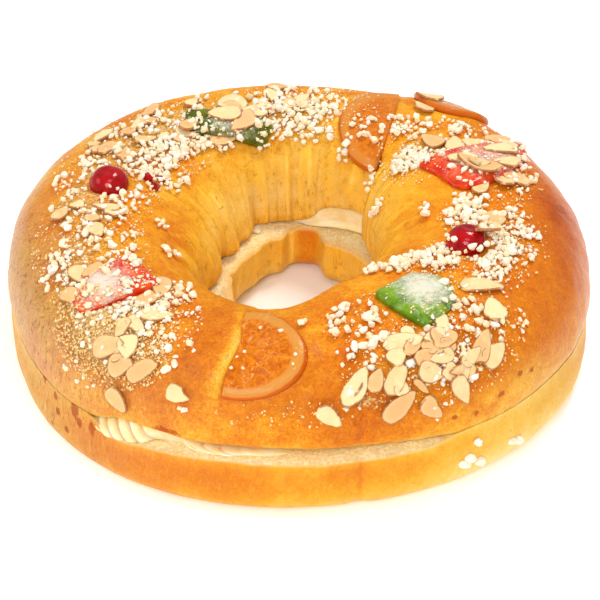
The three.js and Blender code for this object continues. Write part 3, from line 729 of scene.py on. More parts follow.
def basePlace(turn, share):
    # outer wall, underside, inner wall and cut face, in that order round the section
    cutOut, cutIn = cutHeight(turn, 1), cutHeight(turn, 0)
    shut = 1 - seamOpen(turn)
    closing = (fillingHeight(turn, 1) + 1.9) * shut + rimWave(turn)
    droop = 0.4 * (1 - shut)
    if share < 0.33:
        height = (cutOut - droop) * (1 - share / 0.33)
        foot = base["footOuter"] - 2.4 * bell(apart(turn, 296), 26)
        radius = baseRadius(turn, 1) - foot * footInset(height)
        place, wall = polar(turn, radius, height), 1
        crumb = 0.8 * bell(height - cutOut + droop, 0.9) * (1 - shut)
        place.z += closing * smooth(cutOut - 8, cutOut, height)
    elif share < 0.47:
        across = (share - 0.33) / 0.14
        outer = baseRadius(turn, 1) - base["footOuter"]
        inner = baseRadius(turn, -1) + base["footInner"]
        return polar(turn, lerp(outer, inner, across), 0), (0.35, 0, 0, 0, 0, 0, 0, 0)
    elif share < 0.76:
        height = cutIn * (share - 0.47) / 0.29
        radius = baseRadius(turn, -1) + base["footInner"] * footInset(height)
        place, wall, crumb = polar(turn, radius, height), -1, 0.8 * bell(height - cutIn, 0.9)
    else:
        across = (share - 0.76) / 0.24
        radius = lerp(baseRadius(turn, -1), baseRadius(turn, 1), across)
        point = polar(turn, radius, cutHeight(turn, across))
        edge = min(across, 1 - across)
        lift = 0.35 * noise.noise(point / 2.4) + 0.35 * noise.noise(point / 7)
        lift = lift * smooth(0, 0.05, edge) - 0.2 + closing * smooth(0.94, 1, across)
        front = bell(apart(turn, 278), 24, 4)
        lift += (1 - shut) * (0.9 + 1.1 * front) * smooth(0.5, 0.88, across) * (1 - smooth(0.92, 1, across))
        lift -= 0.4 * (1 - shut) * smooth(0.94, 1, across)
        covered = 1 - shut * smooth(0.8, 0.9, across)
        crumb = smooth(-0.01, 0.02, edge) * covered
        return point + Vector((0, 0, lift)), (0.3, crumb, 0, 0, 0.3 * shut, 0, 0, 0.5)
    grounded = smooth(0, 6, height)
    joined = shut * smooth(cutOut - 12, cutOut - 1, height) * (wall > 0)
    push = relief(place, base["lumps"]) * grounded
    if joined:
        push = lerp(push, seamRadius(turn) + 0.15 - radius, joined)
    # The wall darkens with height; its paler foot is painted light bounced from the white floor.
    bake, scorch, aboveFloor = baseBake["ground"], 0, smooth(6, 26, height)
    if wall > 0:
        bake = patchedValue(bake + 0.1 * aboveFloor, baseBake["patches"], turn, height)
        # Paler towards the rim; where the seam is shut, a thin paler line along it is a painted highlight.
        bake -= 0.12 * bell(height - cutOut, 5) + 0.16 * shut * bell(height - cutOut, 1)
        bake += sum(amount * bell(apart(turn, at), span) for at, span, amount in baseBake["marks"])
        for spotTurn, spotHeight, size in baseBake["spots"]:
            x = math.radians(apart(turn, spotTurn)) * 145
            scorch = max(scorch, 0.75 * bell(math.hypot(x, height - spotHeight), size))
        at, span = baseBake["wrinkled"]
        wrinkle, stretch, shine = 0.05 + 0.55 * bell(apart(turn, at), span), 0, 0.4
    else:
        at, width, glowWidth = baseBake["rib"]
        folds = noise.noise(Vector((turn * 0.11, height * 0.015, 5)))
        push += grounded * (0.45 * folds + 1.2 * bell(apart(turn, at), width))
        # the notch's recess is darkened as painted shade, with less stretch colour there
        notched = bell(apart(turn, baseBake["notched"][0]), baseBake["notched"][1], 4)
        bake += 0.02 * aboveFloor + 0.29 * notched - baseBake["innerPaler"]
        # stretch follows the wall's fold ridges and the strand beside the notch: partly stretch marks,
        # partly painted highlight
        stretch = (0.45 + 0.7 * folds) * (1 - 0.6 * notched) + 0.6 * bell(apart(turn, at), glowWidth)
        wrinkle, shine = 0.06, 0
    return place + polar(turn, wall * push, 0), (bake, crumb, stretch, scorch, wrinkle, 0, shine, 0.55)


baseMesh = sweptRing(base["turnSteps"], base["sides"], layers, basePlace)
makePiece("baseBread", baseMesh, crustFinish, ["bun_base"])

cream = {
    "hiddenOuter": 15,
    "hiddenInner": 7,
    "wallGap": 1.5,
    "shows": [(239, 13, 11.5, 0), (262, 12, 10, 0), (130, 22, 8, 0), (78, 16, 0, 5.5), (112, 5.5, 0, 9.5)],
    "sloping": (236.6, 6.4, 1.2, 7.5),  # turn, span, and how far its foot and its top are inside the wall
    "piping": (236.6, 6.9, 2.6, 3.3),
    "slant": 3.6,  # how far round a ridge leans from its foot to its top
    "turnSteps": 1080,
    "sides": 44,
    "gap": 0.3,
}


def creamPlace(turn, share):
    # outer face, top, inner face and underside
    valley = 0
    outs = [sum(row[side] * bell(apart(turn, row[0]), row[1]) for row in cream["shows"]) for side in (2, 3)]
    wall = ringRadius("outline", turn)
    at, span, pitch, depth = cream["piping"]
    if share < 0.36:
        up = share / 0.36
        phase = math.pi * (turn + cream["slant"] * (up - 0.5)) / pitch
        here = bell(apart(turn, at), span, 4)
        ridge = depth * abs(math.sin(phase)) ** 0.7 * here
        swirled = bell(apart(turn, 254.6), 5, 4)
        strand = abs(math.sin(math.pi * (turn + 6 * up) / 3.4))
        twist = (1.6 * strand ** 0.7 + 1.4) * swirled - 3.5 * bell(apart(turn, 246), 3.4, 4)
        valley = max(0, 1 - 1.5 * abs(math.sin(phase))) * here + max(0, 1 - 2 * strand) * swirled
        bulge = math.sin(math.pi * up) ** 0.7
        reach = min(wall - cream["hiddenOuter"] + outs[0], wall - cream["wallGap"] - depth) - 1.2
        middle, spread, foot, top = cream["sloping"]
        sloped = bell(apart(turn, middle), spread, 8)
        reach = lerp(reach, wall - lerp(foot, top, up) - depth * 0.4, sloped)
        radius = reach + (ridge + twist) * (0.5 + 0.5 * bulge) + 1.2 * bulge
    elif share < 0.5:
        up = 1
        outer = wall - cream["hiddenOuter"] + outs[0] - 1.6
        radius = lerp(outer, ringRadius("lidHole", turn) + 8, (share - 0.36) / 0.14)
    elif share < 0.86:
        up = 1 - (share - 0.5) / 0.36
        lip = bell(up - 0.16, 0.12) * 2.6 + bell(up - 0.5, 0.1) * 0.5 + bell(up - 0.72, 0.08) * 0.4
        ruffle = 0.8 * noise.noise(Vector((turn * 0.16, up * 2, 9)))
        reach = ringRadius("lidHole", turn) + cream["hiddenInner"] - outs[1]
        radius = reach - (lip + ruffle) * bell(apart(turn, 72), 20) + 0.8
    else:
        up = 0
        inner = ringRadius("lidHole", turn) + cream["hiddenInner"] - outs[1]
        radius = lerp(inner + 1, wall - cream["hiddenOuter"] + outs[0] - 1, (share - 0.86) / 0.14)
    across = shareAt(turn, radius)
    low = cutHeight(turn, across) + cream["gap"]
    high = seatHeight(turn, radius) - cream["gap"]
    soft = 0.12 * noise.noise(Vector((turn * 0.5, up * 3, 1)))
    return polar(turn, radius + soft, lerp(low, max(high, low + 0.3), up)), (valley,)


creamLook = {
    "light": paint(252, 238, 198),
    "deep": paint(247, 220, 156),
    "valley": paint(204, 134, 44),
}


def makeCreamFinish():
    finish = Finish("whippedCream", Subsurface_Weight=0.5, Subsurface_Radius=(1, 0.8, 0.5),
                    Subsurface_Scale=0.004, Coat_Roughness=0.3, IOR=1.42)
    cloud = finish.grain(7, 3)
    fine = finish.grain(1.1, 3)
    colour = finish.mixed(finish.step(cloud, 0.3, 0.7), creamLook["deep"], creamLook["light"])
    # the piping's valleys are darkened towards brown as painted shade
    colour = finish.mixed(finish.attribute("valley") * 0.8, colour, creamLook["valley"])
    roughness = 0.42 + (fine - 0.5) * 0.2
    return finish.wear(Base_Color=colour, Roughness=roughness, Normal=finish.bump(fine, 0.12, 0.6))


creamFinish = makeCreamFinish()
creamMesh = sweptRing(cream["turnSteps"], cream["sides"], ("valley",), creamPlace)
makePiece("creamFilling", creamMesh, creamFinish, ["cream"])


# Candied orange: a disc turned from its profile, cut straight where the dough hides it, laid on the crust.
def makeSlice(name, place):
    bm = bmesh.new()
    uv = bm.loops.layers.uv.new("UVMap")
    aged = bm.verts.layers.float.new("aged")
    radius, half = place["radius"], orangeSlice["thick"] / 2
    profile = [(0, half - 0.5), (0.1, half - 0.45), (0.2, half - 0.5), (0.3, half - 0.5), (0.4, half - 0.5),
               (0.5, half - 0.5), (0.6, half - 0.45), (0.7, half - 0.3), (0.78, half), (0.86, half + 0.05),
               (0.93, half - 0.02), (0.965, half * 0.75), (0.99, half * 0.35), (1, 0), (0.985, -half * 0.5),
               (0.95, -half), (0.6, -half), (0.3, -half), (0, -half)]
    verts = [bm.verts.new((share * radius, 0, height)) for share, height in profile]
    edges = [bm.edges.new(pair) for pair in zip(verts, verts[1:])]
    bmesh.ops.spin(bm, geom=verts + edges, cent=(0, 0, 0), axis=(0, 0, 1), angle=math.tau,
                   steps=orangeSlice["steps"], use_merge=True)
    bmesh.ops.remove_doubles(bm, verts=bm.verts, dist=1e-4)
    cut = bmesh.ops.bisect_plane(bm, geom=bm.verts[:] + bm.edges[:] + bm.faces[:], dist=1e-5,
                                 plane_co=(-place["hidden"], 0, 0), plane_no=(-1, 0, 0), clear_outer=True)
    rim = [part for part in cut["geom_cut"] if isinstance(part, bmesh.types.BMEdge)]
    bmesh.ops.holes_fill(bm, edges=rim)
    bmesh.ops.recalc_face_normals(bm, faces=bm.faces)
    for face in bm.faces:
        for loop in face.loops:
            loop[uv].uv = (loop.vert.co.x / radius, loop.vert.co.y / radius)
    for vert in bm.verts:
        x, y, z = vert.co
        share, angle = math.hypot(x, y) / radius, math.atan2(y, x)
        if z > 0 and share < 0.76:
            cell = abs(math.sin(angle * 5 + 0.4 * noise.noise(Vector((share * 3, angle, 2)))))
            z += 0.35 * (cell ** 0.5 - 0.6) * smooth(0.06, 0.3, share)
            z += 0.35 * noise.noise(Vector((x / 2.2, y / 2.2, 4)))
        z += 0.5 * noise.noise(Vector((x / 14, y / 14, place["turn"])))
        vert.co = inScene(onCrust(place, x, y, place["lift"] + z))
        vert[aged] = place["aged"]
    return makePiece(name, bm, orangeFinish, [name])


orangeLook = {
    "flesh": paint(222, 128, 10),
    "fleshDeep": paint(188, 86, 4),
    "membrane": paint(228, 150, 42),
    "pith": paint(208, 138, 58),
    "rind": paint(200, 88, 4),
    "aged": paint(204, 116, 34),
    "crystal": paint(245, 208, 150),
}


def makeOrangeFinish():
    finish = Finish("candiedOrange", Subsurface_Weight=0.2, Subsurface_Radius=(1, 0.4, 0.1),
                    Subsurface_Scale=0.002, Coat_Roughness=0.12, IOR=1.45, Coat_Weight=0.14,
                    Specular_IOR_Level=0.12)
    look = orangeLook
    uv = finish.node("ShaderNodeUVMap", {"uv_map": "UVMap"})
    away = finish.node("ShaderNodeVectorMath", {"operation": "LENGTH"}, {0: uv}, "Value")
    x = finish.node("ShaderNodeSeparateXYZ", inputs={0: uv})
    y = Value(finish, x.socket.node.outputs["Y"])
    angle = finish.node("ShaderNodeMath", {"operation": "ARCTAN2"}, {0: y, 1: x})
    wobble = finish.grain(5, 3)
    wave = finish.node("ShaderNodeMath", {"operation": "SINE"}, {0: angle * 5 + wobble * 1.6})
    ray = 1 - finish.step(finish.node("ShaderNodeMath", {"operation": "ABSOLUTE"}, {0: wave}), 0.03, 0.22)
    pulp = finish.grain(2.2, 4, 0.65, distortion=0.8)
    flesh = finish.mixed(finish.step(pulp, 0.32, 0.68), look["fleshDeep"], look["flesh"])
    flesh = finish.mixed(ray * 0.5, flesh, look["membrane"])
    edge = away + (wobble - 0.5) * 0.05
    pithy = finish.mixed(finish.step(pulp, 0.3, 0.7) * 0.35, look["pith"], look["membrane"])
    colour = finish.mixed(finish.step(edge, 0.72, 0.8), flesh, pithy)
    colour = finish.mixed(finish.step(edge, 0.92, 0.96), colour, look["rind"])
    colour = finish.mixed(finish.attribute("aged") * (0.4 + pulp * 0.6), colour, look["aged"])
    crystals = finish.step(finish.grain(1.1, 2), 0.6, 0.68) * finish.step(finish.grain(9, 2), 0.5, 0.62)
    colour = finish.mixed(crystals * 0.6, colour, look["crystal"])
    pulpy = finish.bump(pulp * 0.6 + finish.grain(0.8, 2) * 0.4, 0.5, 0.8)
    roughness = 0.26 + crystals * 0.3 + (pulp - 0.5) * 0.15
    return finish.wear(Base_Color=colour, Roughness=roughness, Normal=pulpy)


orangeFinish = makeOrangeFinish()
for name, place in slices.items():
    makeSlice(name, place)

fruitLook = {
    "cherry": (paint(140, 0, 6), paint(186, 4, 12)),
    "red": (paint(204, 36, 6), paint(234, 88, 34)),
    "green": (paint(74, 118, 8), paint(132, 168, 24)),
    "oldGreen": (paint(80, 88, 4), paint(124, 128, 16)),
}


def makeFruitFinish(kind):
    # glossy fruit flesh under a dusting of sugar
    deep, light = fruitLook[kind]
    finish = Finish(kind + "Fruit", Subsurface_Weight=0.18, Subsurface_Radius=(1, 0.3, 0.2),
                    Subsurface_Scale=0.003, Coat_Roughness=0.08, IOR=1.45, Specular_IOR_Level=0.15)
    cloud = finish.grain(8, 3, distortion=0.5)
    fine = finish.grain(1.2, 4, 0.7)
    colour = finish.mixed(finish.step(cloud, 0.35, 0.7), deep, light)
    patchy = finish.attribute("frost") + (finish.grain(5, 4, 0.7) - 0.5) * 1.2 + (fine - 0.5) * 0.8
    frost = finish.step(patchy, 0.1, 0.85) * finish.step(finish.attribute("frost"), 0.02, 0.2)
    colour = finish.mixed(frost * 0.8, colour, paint(244, 236, 220))
    dent = finish.bump(cloud, 0.8, 0.5)
    normal = finish.bump(fine * frost, 0.6, 0.9, dent)
    coat = (1 - frost) * 0.38
    return finish.wear(Base_Color=colour, Roughness=0.16 + frost * 0.5, Coat_Weight=coat, Normal=normal)


def makeCherry(name, place):
    bm = bmesh.new()
    bmesh.ops.create_icosphere(bm, subdivisions=5, radius=cherry["radius"])
    at, along, up, out = crustFrame(place["turn"], place["climb"])
    for vert in bm.verts:
        x, y, z = vert.co
        dimple = 1.3 * bell(math.hypot(x - 1.5, y + 1), 2.6) * (z > 0)
        push = 1 + 0.03 * noise.noise(vert.co / 6 + Vector((place["turn"], 0, 0)))
        z = (z * push - dimple) * cherry["squash"] + cherry["lift"]
        vert.co = inScene(at + along * x * push + up * y * push + out * z)
    return makePiece(name, bm, cherryFinish, [name])


def blunt(value, power):
    return math.copysign(abs(value) ** power, value)


def makeCutFruit(name, place, finish):
    bm = bmesh.new()
    frost = bm.verts.layers.float.new("frost")
    bmesh.ops.create_uvsphere(bm, u_segments=96, v_segments=40, radius=1)
    frostX, frostY, frostSpan, amount = place["frost"]
    for vert in bm.verts:
        x, y, z = vert.co
        angle = math.atan2(y, x)
        reach = blunt(math.hypot(x, y), cutPiece["flatTop"]) * edgeDistance(place["sides"], angle)
        dx, dy = reach * math.cos(angle), reach * math.sin(angle)
        ripple = noise.noise(Vector((dx / 7, dy / 7, place["turn"])))
        ripple += 0.35 * noise.noise(Vector((dx / 2.4, dy / 2.4, 2)))
        lift = cutPiece["lift"] + blunt(z, cutPiece["bluntEdge"]) * cutPiece["thick"] / 2
        vert.co = inScene(onCrust(place, dx, dy, lift + 0.75 * ripple * (z > 0)))
        vert[frost] = amount * bell(math.hypot(dx - frostX, dy - frostY), frostSpan) * (z > 0)
    return makePiece(name, bm, finish, [name])


cherryFinish = makeFruitFinish("cherry")
redFinish = makeFruitFinish("red")
oldGreenFinish = makeFruitFinish("oldGreen")
greenFinish = makeFruitFinish("green")
for name, place in cherries.items():
    makeCherry(name, place)
for name, place in cutFruit.items():
    if "green" in name:
        makeCutFruit(name, place, oldGreenFinish if "back" in name else greenFinish)
    else:
        makeCutFruit(name, place, redFinish)


def makeGrains(count, divisions, squash, seed):
    # uneven grains of radius 1, stamped later at their places
    rng = random.Random(seed)
    grains = []
    for number in range(count):
        bm = bmesh.new()
        layer = bm.verts.layers.float.new("tint")
        bmesh.ops.create_icosphere(bm, subdivisions=divisions, radius=1)
        stretch = Vector((rng.uniform(0.85, 1.5), rng.uniform(0.72, 1.05), squash))
        flats = [Vector([rng.uniform(-1, 1) for axis in range(3)]).normalized() for flat in range(8)]
        for vert in bm.verts:
            # knocked flat on a few sides, as broken sugar is
            cut = min([1] + [0.68 / vert.co.dot(flat) for flat in flats if vert.co.dot(flat) > 0.68])
            knob = 1.1 + 0.4 * noise.noise(vert.co * 1.5 + Vector((number * 7, 0, 0)))
            vert.co = vert.co * stretch * knob * cut
            vert[layer] = 0
        mesh = bpy.data.meshes.new("grain")
        bm.to_mesh(mesh)
        bm.free()
        grains.append(mesh)
    return grains


def stamp(bm, template, place, layer, value):
    # add a copy of a small mesh at its place, with one value of an attribute
    copy = template.copy()
    copy.transform(place)
    copy.attributes[layer].data.foreach_set("value", [value] * len(copy.vertices))
    bm.from_mesh(copy)
    bpy.data.meshes.remove(copy)


# Flaked almonds: turn, climb, spin, length and width of those that stand out, then seeded ones between.
almond = {
    "thick": 1.3,
    "outline": 20,
    "placed": [
        (280.5, 36, 60, 21, 10.5), (284.5, 40, 60, 12, 7), (288.5, 40, 50, 19, 8.5), (292, 62, -5, 19, 9.5),
        (288, 20, 35, 20, 9), (295, 48, 20, 12, 9), (294, 15, -50, 14, 9.5), (300.5, 57, -8, 14, 11.5),
        (306.5, 41, 45, 20, 9), (308.5, 35, 20, 15, 10), (300, 22, -75, 15, 8.5), (295, 38, -20, 13, 10),
        (318.5, 76, -50, 21, 9), (315, 59, 60, 14, 11), (275.5, 20, -40, 13, 8), (292.5, 31, -50, 10, 4),
        (38, 100, 10, 15, 10), (29, 85, 50, 15, 10), (21.5, 78, 80, 19, 9), (10.5, 75, 30, 17, 7),
        (349, 89, -20, 15, 12), (343, 87, 20, 12, 8), (54.5, 69, 30, 15, 8), (27.5, 72, 60, 16, 9),
        (32, 93, -30, 15, 10), (53.5, 80, -10, 13, 8), (110.5, 93, 15, 17, 14), (104, 103, -20, 14, 9),
        (121, 119, 10, 20, 10), (110, 114, 25, 20, 10), (116, 106, -25, 18, 11), (113, 99, 5, 16, 12),
        (138, 83, 10, 17, 7), (132, 78, 20, 16, 7), (153.5, 82, -5, 15, 9), (154.5, 92, 60, 14, 10),
        (197.5, 89, 10, 14, 9), (214, 81, -70, 16, 8), (231, 99, -50, 20, 9), (217.5, 59, 20, 17, 10),
        (232.5, 46, 30, 17, 11), (236.5, 52, -60, 13, 10), (237, 38, 10, 14, 11), (241.5, 41, 45, 19, 8.5),
        (237.5, 14, -40, 14, 9), (249, 31, -10, 12, 8), (237.5, 80, 30, 16, 8), (232, 88, 80, 14, 9),
        (14, 92, 55, 24, 12), (10, 84, 15, 19, 9), (19, 97, 70, 16, 9), (6.5, 93, -25, 15, 8),
        (15, 78, 80, 15, 8), (213, 71, 5, 15, 8),
    ],
    "leaning": [(335.3, 88.5, 40, 13.5, 12, 10, 34, 7.6)],  # also tilt, lean and height above the crust
    "seeded": [  # turn, climb, spans and count
        (300, 45, 14, 22, 13), (20, 82, 18, 16, 6), (122, 94, 22, 18, 7), (146, 82, 12, 14, 6),
        (192, 78, 10, 24, 5), (236, 62, 10, 22, 3), (85, 88, 20, 14, 5),
    ],
}


def makeFlake(length, width, rng):
    # one flake at the origin: an outline, given its thickness, bevelled and hollowed inside its rim
    bm = bmesh.new()
    tint = bm.verts.layers.float.new("rim")
    bm.verts.layers.float.new("toast")
    made = bmesh.ops.create_circle(bm, cap_ends=True, radius=1, segments=almond["outline"])
    chipped = rng.random() < 0.35
    chipAt = rng.uniform(0, math.tau)
    for vert in made["verts"]:
        angle = math.atan2(vert.co.y, vert.co.x)
        x = length / 2 * (math.cos(angle) + 0.07 * math.cos(angle) ** 8)
        y = width / 2 * math.sin(angle) * (1 - 0.3 * math.cos(angle))
        bite = 1 - 0.35 * chipped * bell(apart(math.degrees(angle), math.degrees(chipAt)), 38)
        wobble = 1 + rng.uniform(-0.035, 0.035)
        vert.co = (x * bite * wobble, y * bite * wobble, 0)
    top = bmesh.ops.extrude_face_region(bm, geom=bm.faces[:])
    verts = [part for part in top["geom"] if isinstance(part, bmesh.types.BMVert)]
    faces = [part for part in top["geom"] if isinstance(part, bmesh.types.BMFace)]
    bmesh.ops.translate(bm, verts=verts, vec=(0, 0, almond["thick"]))
    edges = list({edge for face in faces for edge in face.edges})
    bmesh.ops.bevel(bm, geom=edges, offset=0.35, offset_type="OFFSET", affect="EDGES", segments=1,
                    profile=0.5, material=-1)
    crown = max(bm.faces, key=lambda face: face.calc_area() * (face.calc_center_median().z > 0.5))
    for vert in bm.verts:
        vert[tint] = 1
    for scale, shade, sink in ((0.8, 0.35, 0.1), (0.6, 0, 0)):
        bmesh.ops.inset_region(bm, faces=[crown], thickness=0.02)
        middle = crown.calc_center_median()
        for vert in crown.verts:
            vert.co = middle + (vert.co - middle) * scale - Vector((0, 0, sink))
            vert[tint] = shade
    curl = rng.uniform(-0.012, 0.02)
    for vert in bm.verts:
        x, y = vert.co.xy
        vert.co.z += curl * x ** 2 + 0.3 * noise.noise(Vector((x / 6, y / 6, chipAt)))
    bmesh.ops.recalc_face_normals(bm, faces=bm.faces)
    mesh = bpy.data.meshes.new("flake")
    bm.to_mesh(mesh)
    bm.free()
    return mesh


def standing(turn, climb, lift, spin, tilt, lean, above=0):
    # a placement matrix: a piece standing on the crust, turned in the surface and tipped a little
    at, along, up, out = crustFrame(turn, climb)
    tipped = Matrix((along, up, out)).transposed()
    for angle, axis in ((spin, "Z"), (tilt, "X"), (lean, "Y")):
        tipped = tipped @ Matrix.Rotation(math.radians(angle), 3, axis)
    centre = inScene(at + out * (lift + above))
    return Matrix.Translation(centre) @ tipped.to_4x4() @ Matrix.Scale(0.001, 4)


def fruitTop(turn, climb):
    # how much higher a loose piece lies where there is fruit under it
    for kind, piece in fruitNear(turn):
        x, y = fromPlace(piece, turn, climb)
        away = math.hypot(x, y)
        if kind == "slice" and away < piece["radius"] and x > -piece["hidden"]:
            return piece["lift"] + orangeSlice["thick"] / 2 - 0.2
        if kind == "cherry" and away < cherry["radius"]:
            return math.sqrt(cherry["radius"] ** 2 - away ** 2) * cherry["squash"]
        if kind == "cut":
            edge = edgeDistance(piece["sides"], math.atan2(y, x))
            if away < edge:
                rise = (1 - (away / edge) ** (1 / 0.3)) ** 0.4
                return cutPiece["lift"] + cutPiece["thick"] / 2 * rise
    return 0


def makeAlmonds():
    rng = random.Random(11)
    bm = bmesh.new()
    rows = list(almond["placed"])
    for turn, climb, spanTurn, spanClimb, count in almond["seeded"]:
        for _ in range(count):
            rows.append((turn + spanTurn * rng.uniform(-1, 1) * rng.random() ** 0.3,
                         climb + spanClimb * rng.uniform(-1, 1) * rng.random() ** 0.3,
                         rng.uniform(0, 360), rng.uniform(8, 15), rng.uniform(6, 9)))
    rows = [(*row, rng.uniform(-9, 9), rng.uniform(-7, 7), fruitTop(row[0], row[1])) for row in rows]
    for turn, climb, spin, length, width, tilt, lean, above in rows + almond["leaning"]:
        flake = makeFlake(length, width, rng)
        place = standing(turn, climb, 0.35, spin, tilt, lean, above)
        stamp(bm, flake, place, "toast", rng.random())
        bpy.data.meshes.remove(flake)
    return makePiece("flakedAlmonds", bm, almondFinish)


almondLook = {
    "ivory": paint(250, 218, 162),
    "cream": paint(241, 194, 132),
    "toasted": paint(232, 168, 106),
    "skin": paint(160, 88, 34),
}


def makeAlmondFinish():
    finish = Finish("flakedAlmond", Subsurface_Weight=0.2, Subsurface_Radius=(1, 0.7, 0.4),
                    Subsurface_Scale=0.002, Coat_Roughness=0.3, IOR=1.42)
    look = almondLook
    rim = finish.attribute("rim")
    toast = finish.attribute("toast")
    cloud = finish.grain(5, 3)
    fibre = finish.grain(1.2, 3, 0.6)
    body = finish.mixed(finish.step(toast + (cloud - 0.5) * 0.9, 0, 0.8), look["ivory"], look["cream"])
    heart = (1 - rim) * finish.step(toast + (cloud - 0.5) * 0.6, 0.45, 0.8)
    body = finish.mixed(heart * 0.6, body, look["toasted"])
    # the rim takes the brown of the almond's skin, and this dark outline is partly painted shade
    edge = finish.step(rim + (fibre - 0.5) * 0.3, 0.8, 1.02) * finish.step(cloud, 0.32, 0.52)
    body = finish.mixed(edge * 0.85, body, look["skin"])
    roughness = 0.5 + (fibre - 0.5) * 0.2
    return finish.wear(Base_Color=body, Roughness=roughness, Normal=finish.bump(fibre + cloud, 0.35, 0.8))


almondFinish = makeAlmondFinish()
makeAlmonds()

# Pearl sugar and its finer bits: turn, climb, spans, count, and least and most radius.
sugar = {
    "scale": 1.0,
    "share": 1.05,
    "heaps": [
        (284, 86, 7, 10, 26, 1.3, 2.5), (288, 66, 4, 5, 10, 1.4, 2.6), (281, 58, 4, 8, 7, 1.3, 2.2),
        (281, 32, 3, 9, 8, 1.2, 1.9), (300, 62, 5, 6, 10, 1.2, 2.1), (310, 74, 6, 9, 18, 1.2, 2.2),
        (312, 56, 5, 9, 16, 1.2, 2.0), (317, 46, 3, 7, 7, 1.2, 1.9), (299, 40, 5, 7, 10, 1.1, 1.8),
        (297, 16, 3, 11, 6, 1.0, 1.6), (303, 124, 5, 6, 7, 1.4, 2.4), (313, 114, 7, 6, 22, 1.4, 2.5),
        (323, 101, 7, 7, 48, 1.2, 2.4), (334, 86, 7, 8, 62, 1.1, 2.2), (326, 78, 5, 7, 26, 1.2, 2.1),
        (338, 72, 5, 7, 16, 1.1, 1.9), (345, 68, 3, 4, 6, 1.2, 1.8), (346, 100, 5, 8, 26, 1.3, 2.3),
        (353, 100, 6, 9, 24, 1.3, 2.3), (0, 98, 6, 9, 16, 1.3, 2.2), (348, 82, 5, 7, 24, 1.1, 2.0),
        (357, 120, 4, 4, 6, 1.4, 2.2), (10, 74, 6, 6, 14, 1.1, 1.9), (17, 66, 6, 6, 12, 1.1, 1.8),
        (24, 148, 3, 8, 6, 1.5, 2.4), (36, 119, 6, 9, 58, 1.1, 2.1), (49, 144, 4, 8, 9, 1.3, 2.2),
        (67, 132, 3, 7, 8, 1.4, 2.4), (61, 112, 7, 9, 16, 1.2, 2.0), (50, 100, 6, 9, 34, 1.1, 2.0),
        (40, 86, 7, 8, 26, 1.1, 2.0), (30, 108, 5, 8, 12, 1.2, 2.0), (30, 66, 7, 8, 24, 1.0, 1.8),
        (12, 96, 6, 8, 10, 1.2, 2.0), (90, 100, 14, 16, 120, 1.0, 2.1), (86, 122, 9, 7, 14, 1.4, 2.3),
        (99, 120, 6, 8, 14, 1.2, 2.2), (104, 130, 4, 5, 5, 1.3, 2.0), (120, 120, 7, 6, 22, 1.1, 2.0),
        (133, 110, 9, 9, 60, 1.1, 2.1), (146, 108, 7, 8, 44, 1.1, 2.1), (156, 102, 7, 8, 40, 1.1, 2.0),
        (162, 112, 6, 9, 20, 1.1, 2.0), (158, 84, 8, 11, 34, 1.0, 1.9), (140, 88, 11, 11, 38, 1.0, 1.8),
        (118, 92, 12, 10, 30, 1.0, 1.9), (158, 126, 7, 5, 10, 1.1, 1.8), (170, 78, 7, 12, 24, 1.0, 1.9),
        (178, 104, 6, 8, 18, 1.1, 2.0), (186, 98, 8, 8, 22, 1.1, 2.0), (186, 76, 8, 11, 22, 1.0, 1.8),
        (188, 126, 6, 5, 5, 1.2, 2.0), (197, 82, 8, 11, 28, 1.0, 2.0), (204, 98, 6, 9, 16, 1.0, 1.9),
        (208, 64, 7, 12, 22, 1.0, 1.9), (208, 132, 5, 5, 5, 1.2, 1.9), (216, 92, 6, 9, 22, 1.0, 2.0),
        (219, 62, 6, 10, 24, 1.0, 1.9), (232, 98, 7, 14, 30, 1.0, 2.1), (236, 76, 6, 10, 40, 0.9, 1.8),
        (229, 50, 6, 14, 20, 0.9, 1.6), (240, 62, 6, 9, 12, 1.0, 1.8), (228, 20, 4, 9, 7, 0.9, 1.5),
        (247, 62, 3, 16, 6, 1.2, 2.2), (251, 24, 1.5, 4, 2, 1.3, 1.9), (244, 90, 2, 3, 3, 1.2, 2.0),
        (264, 70, 7, 20, 8, 0.8, 1.7), (271, 89, 1.5, 2, 2, 1.6, 2.4),
    ],
    "dust": [
        (290, 84, 12, 14, 120), (326, 88, 18, 22, 420), (350, 92, 14, 18, 220), (36, 112, 16, 22, 300),
        (90, 102, 24, 22, 420), (140, 104, 26, 22, 420), (176, 92, 18, 24, 260), (206, 80, 20, 28, 300),
        (232, 74, 14, 26, 520), (300, 52, 16, 22, 200),
    ],
    "nibs": [
        (231, 50, 12, 26, 1900), (298, 44, 16, 26, 600), (206, 74, 16, 24, 220), (150, 82, 26, 22, 260),
        (20, 78, 20, 18, 160), (338, 74, 14, 14, 120), (268, 22, 10, 10, 60),
    ],
    "low": [  # turn and height of the grains that stick to the base's wall
        (304, 25.5), (302.7, 18), (301.5, 15.5), (304.8, 13.5), (312.7, 15.5), (314.3, 14.5),
    ],
    "creamy": [  # paler flakes of almond and frosting
        (231, 80, 6, 13, 90), (206, 74, 10, 14, 40), (146, 84, 16, 12, 50), (36, 116, 6, 8, 50),
        (92, 104, 12, 14, 60), (298, 46, 12, 18, 90), (337, 84, 8, 10, 24), (20, 84, 10, 12, 30),
    ],
}


def thrown(rng, turn, climb, spanTurn, spanClimb):
    # where one grain of a heap lands
    angle, away = rng.uniform(0, math.tau), rng.random() ** 0.6
    return turn + spanTurn * away * math.cos(angle) * 1.25, climb + spanClimb * away * math.sin(angle) * 1.25


def onCherry(turn, climb, share):
    return any(math.hypot(*fromPlace(place, turn, climb)) < share * cherry["radius"]
               for place in cherries.values())


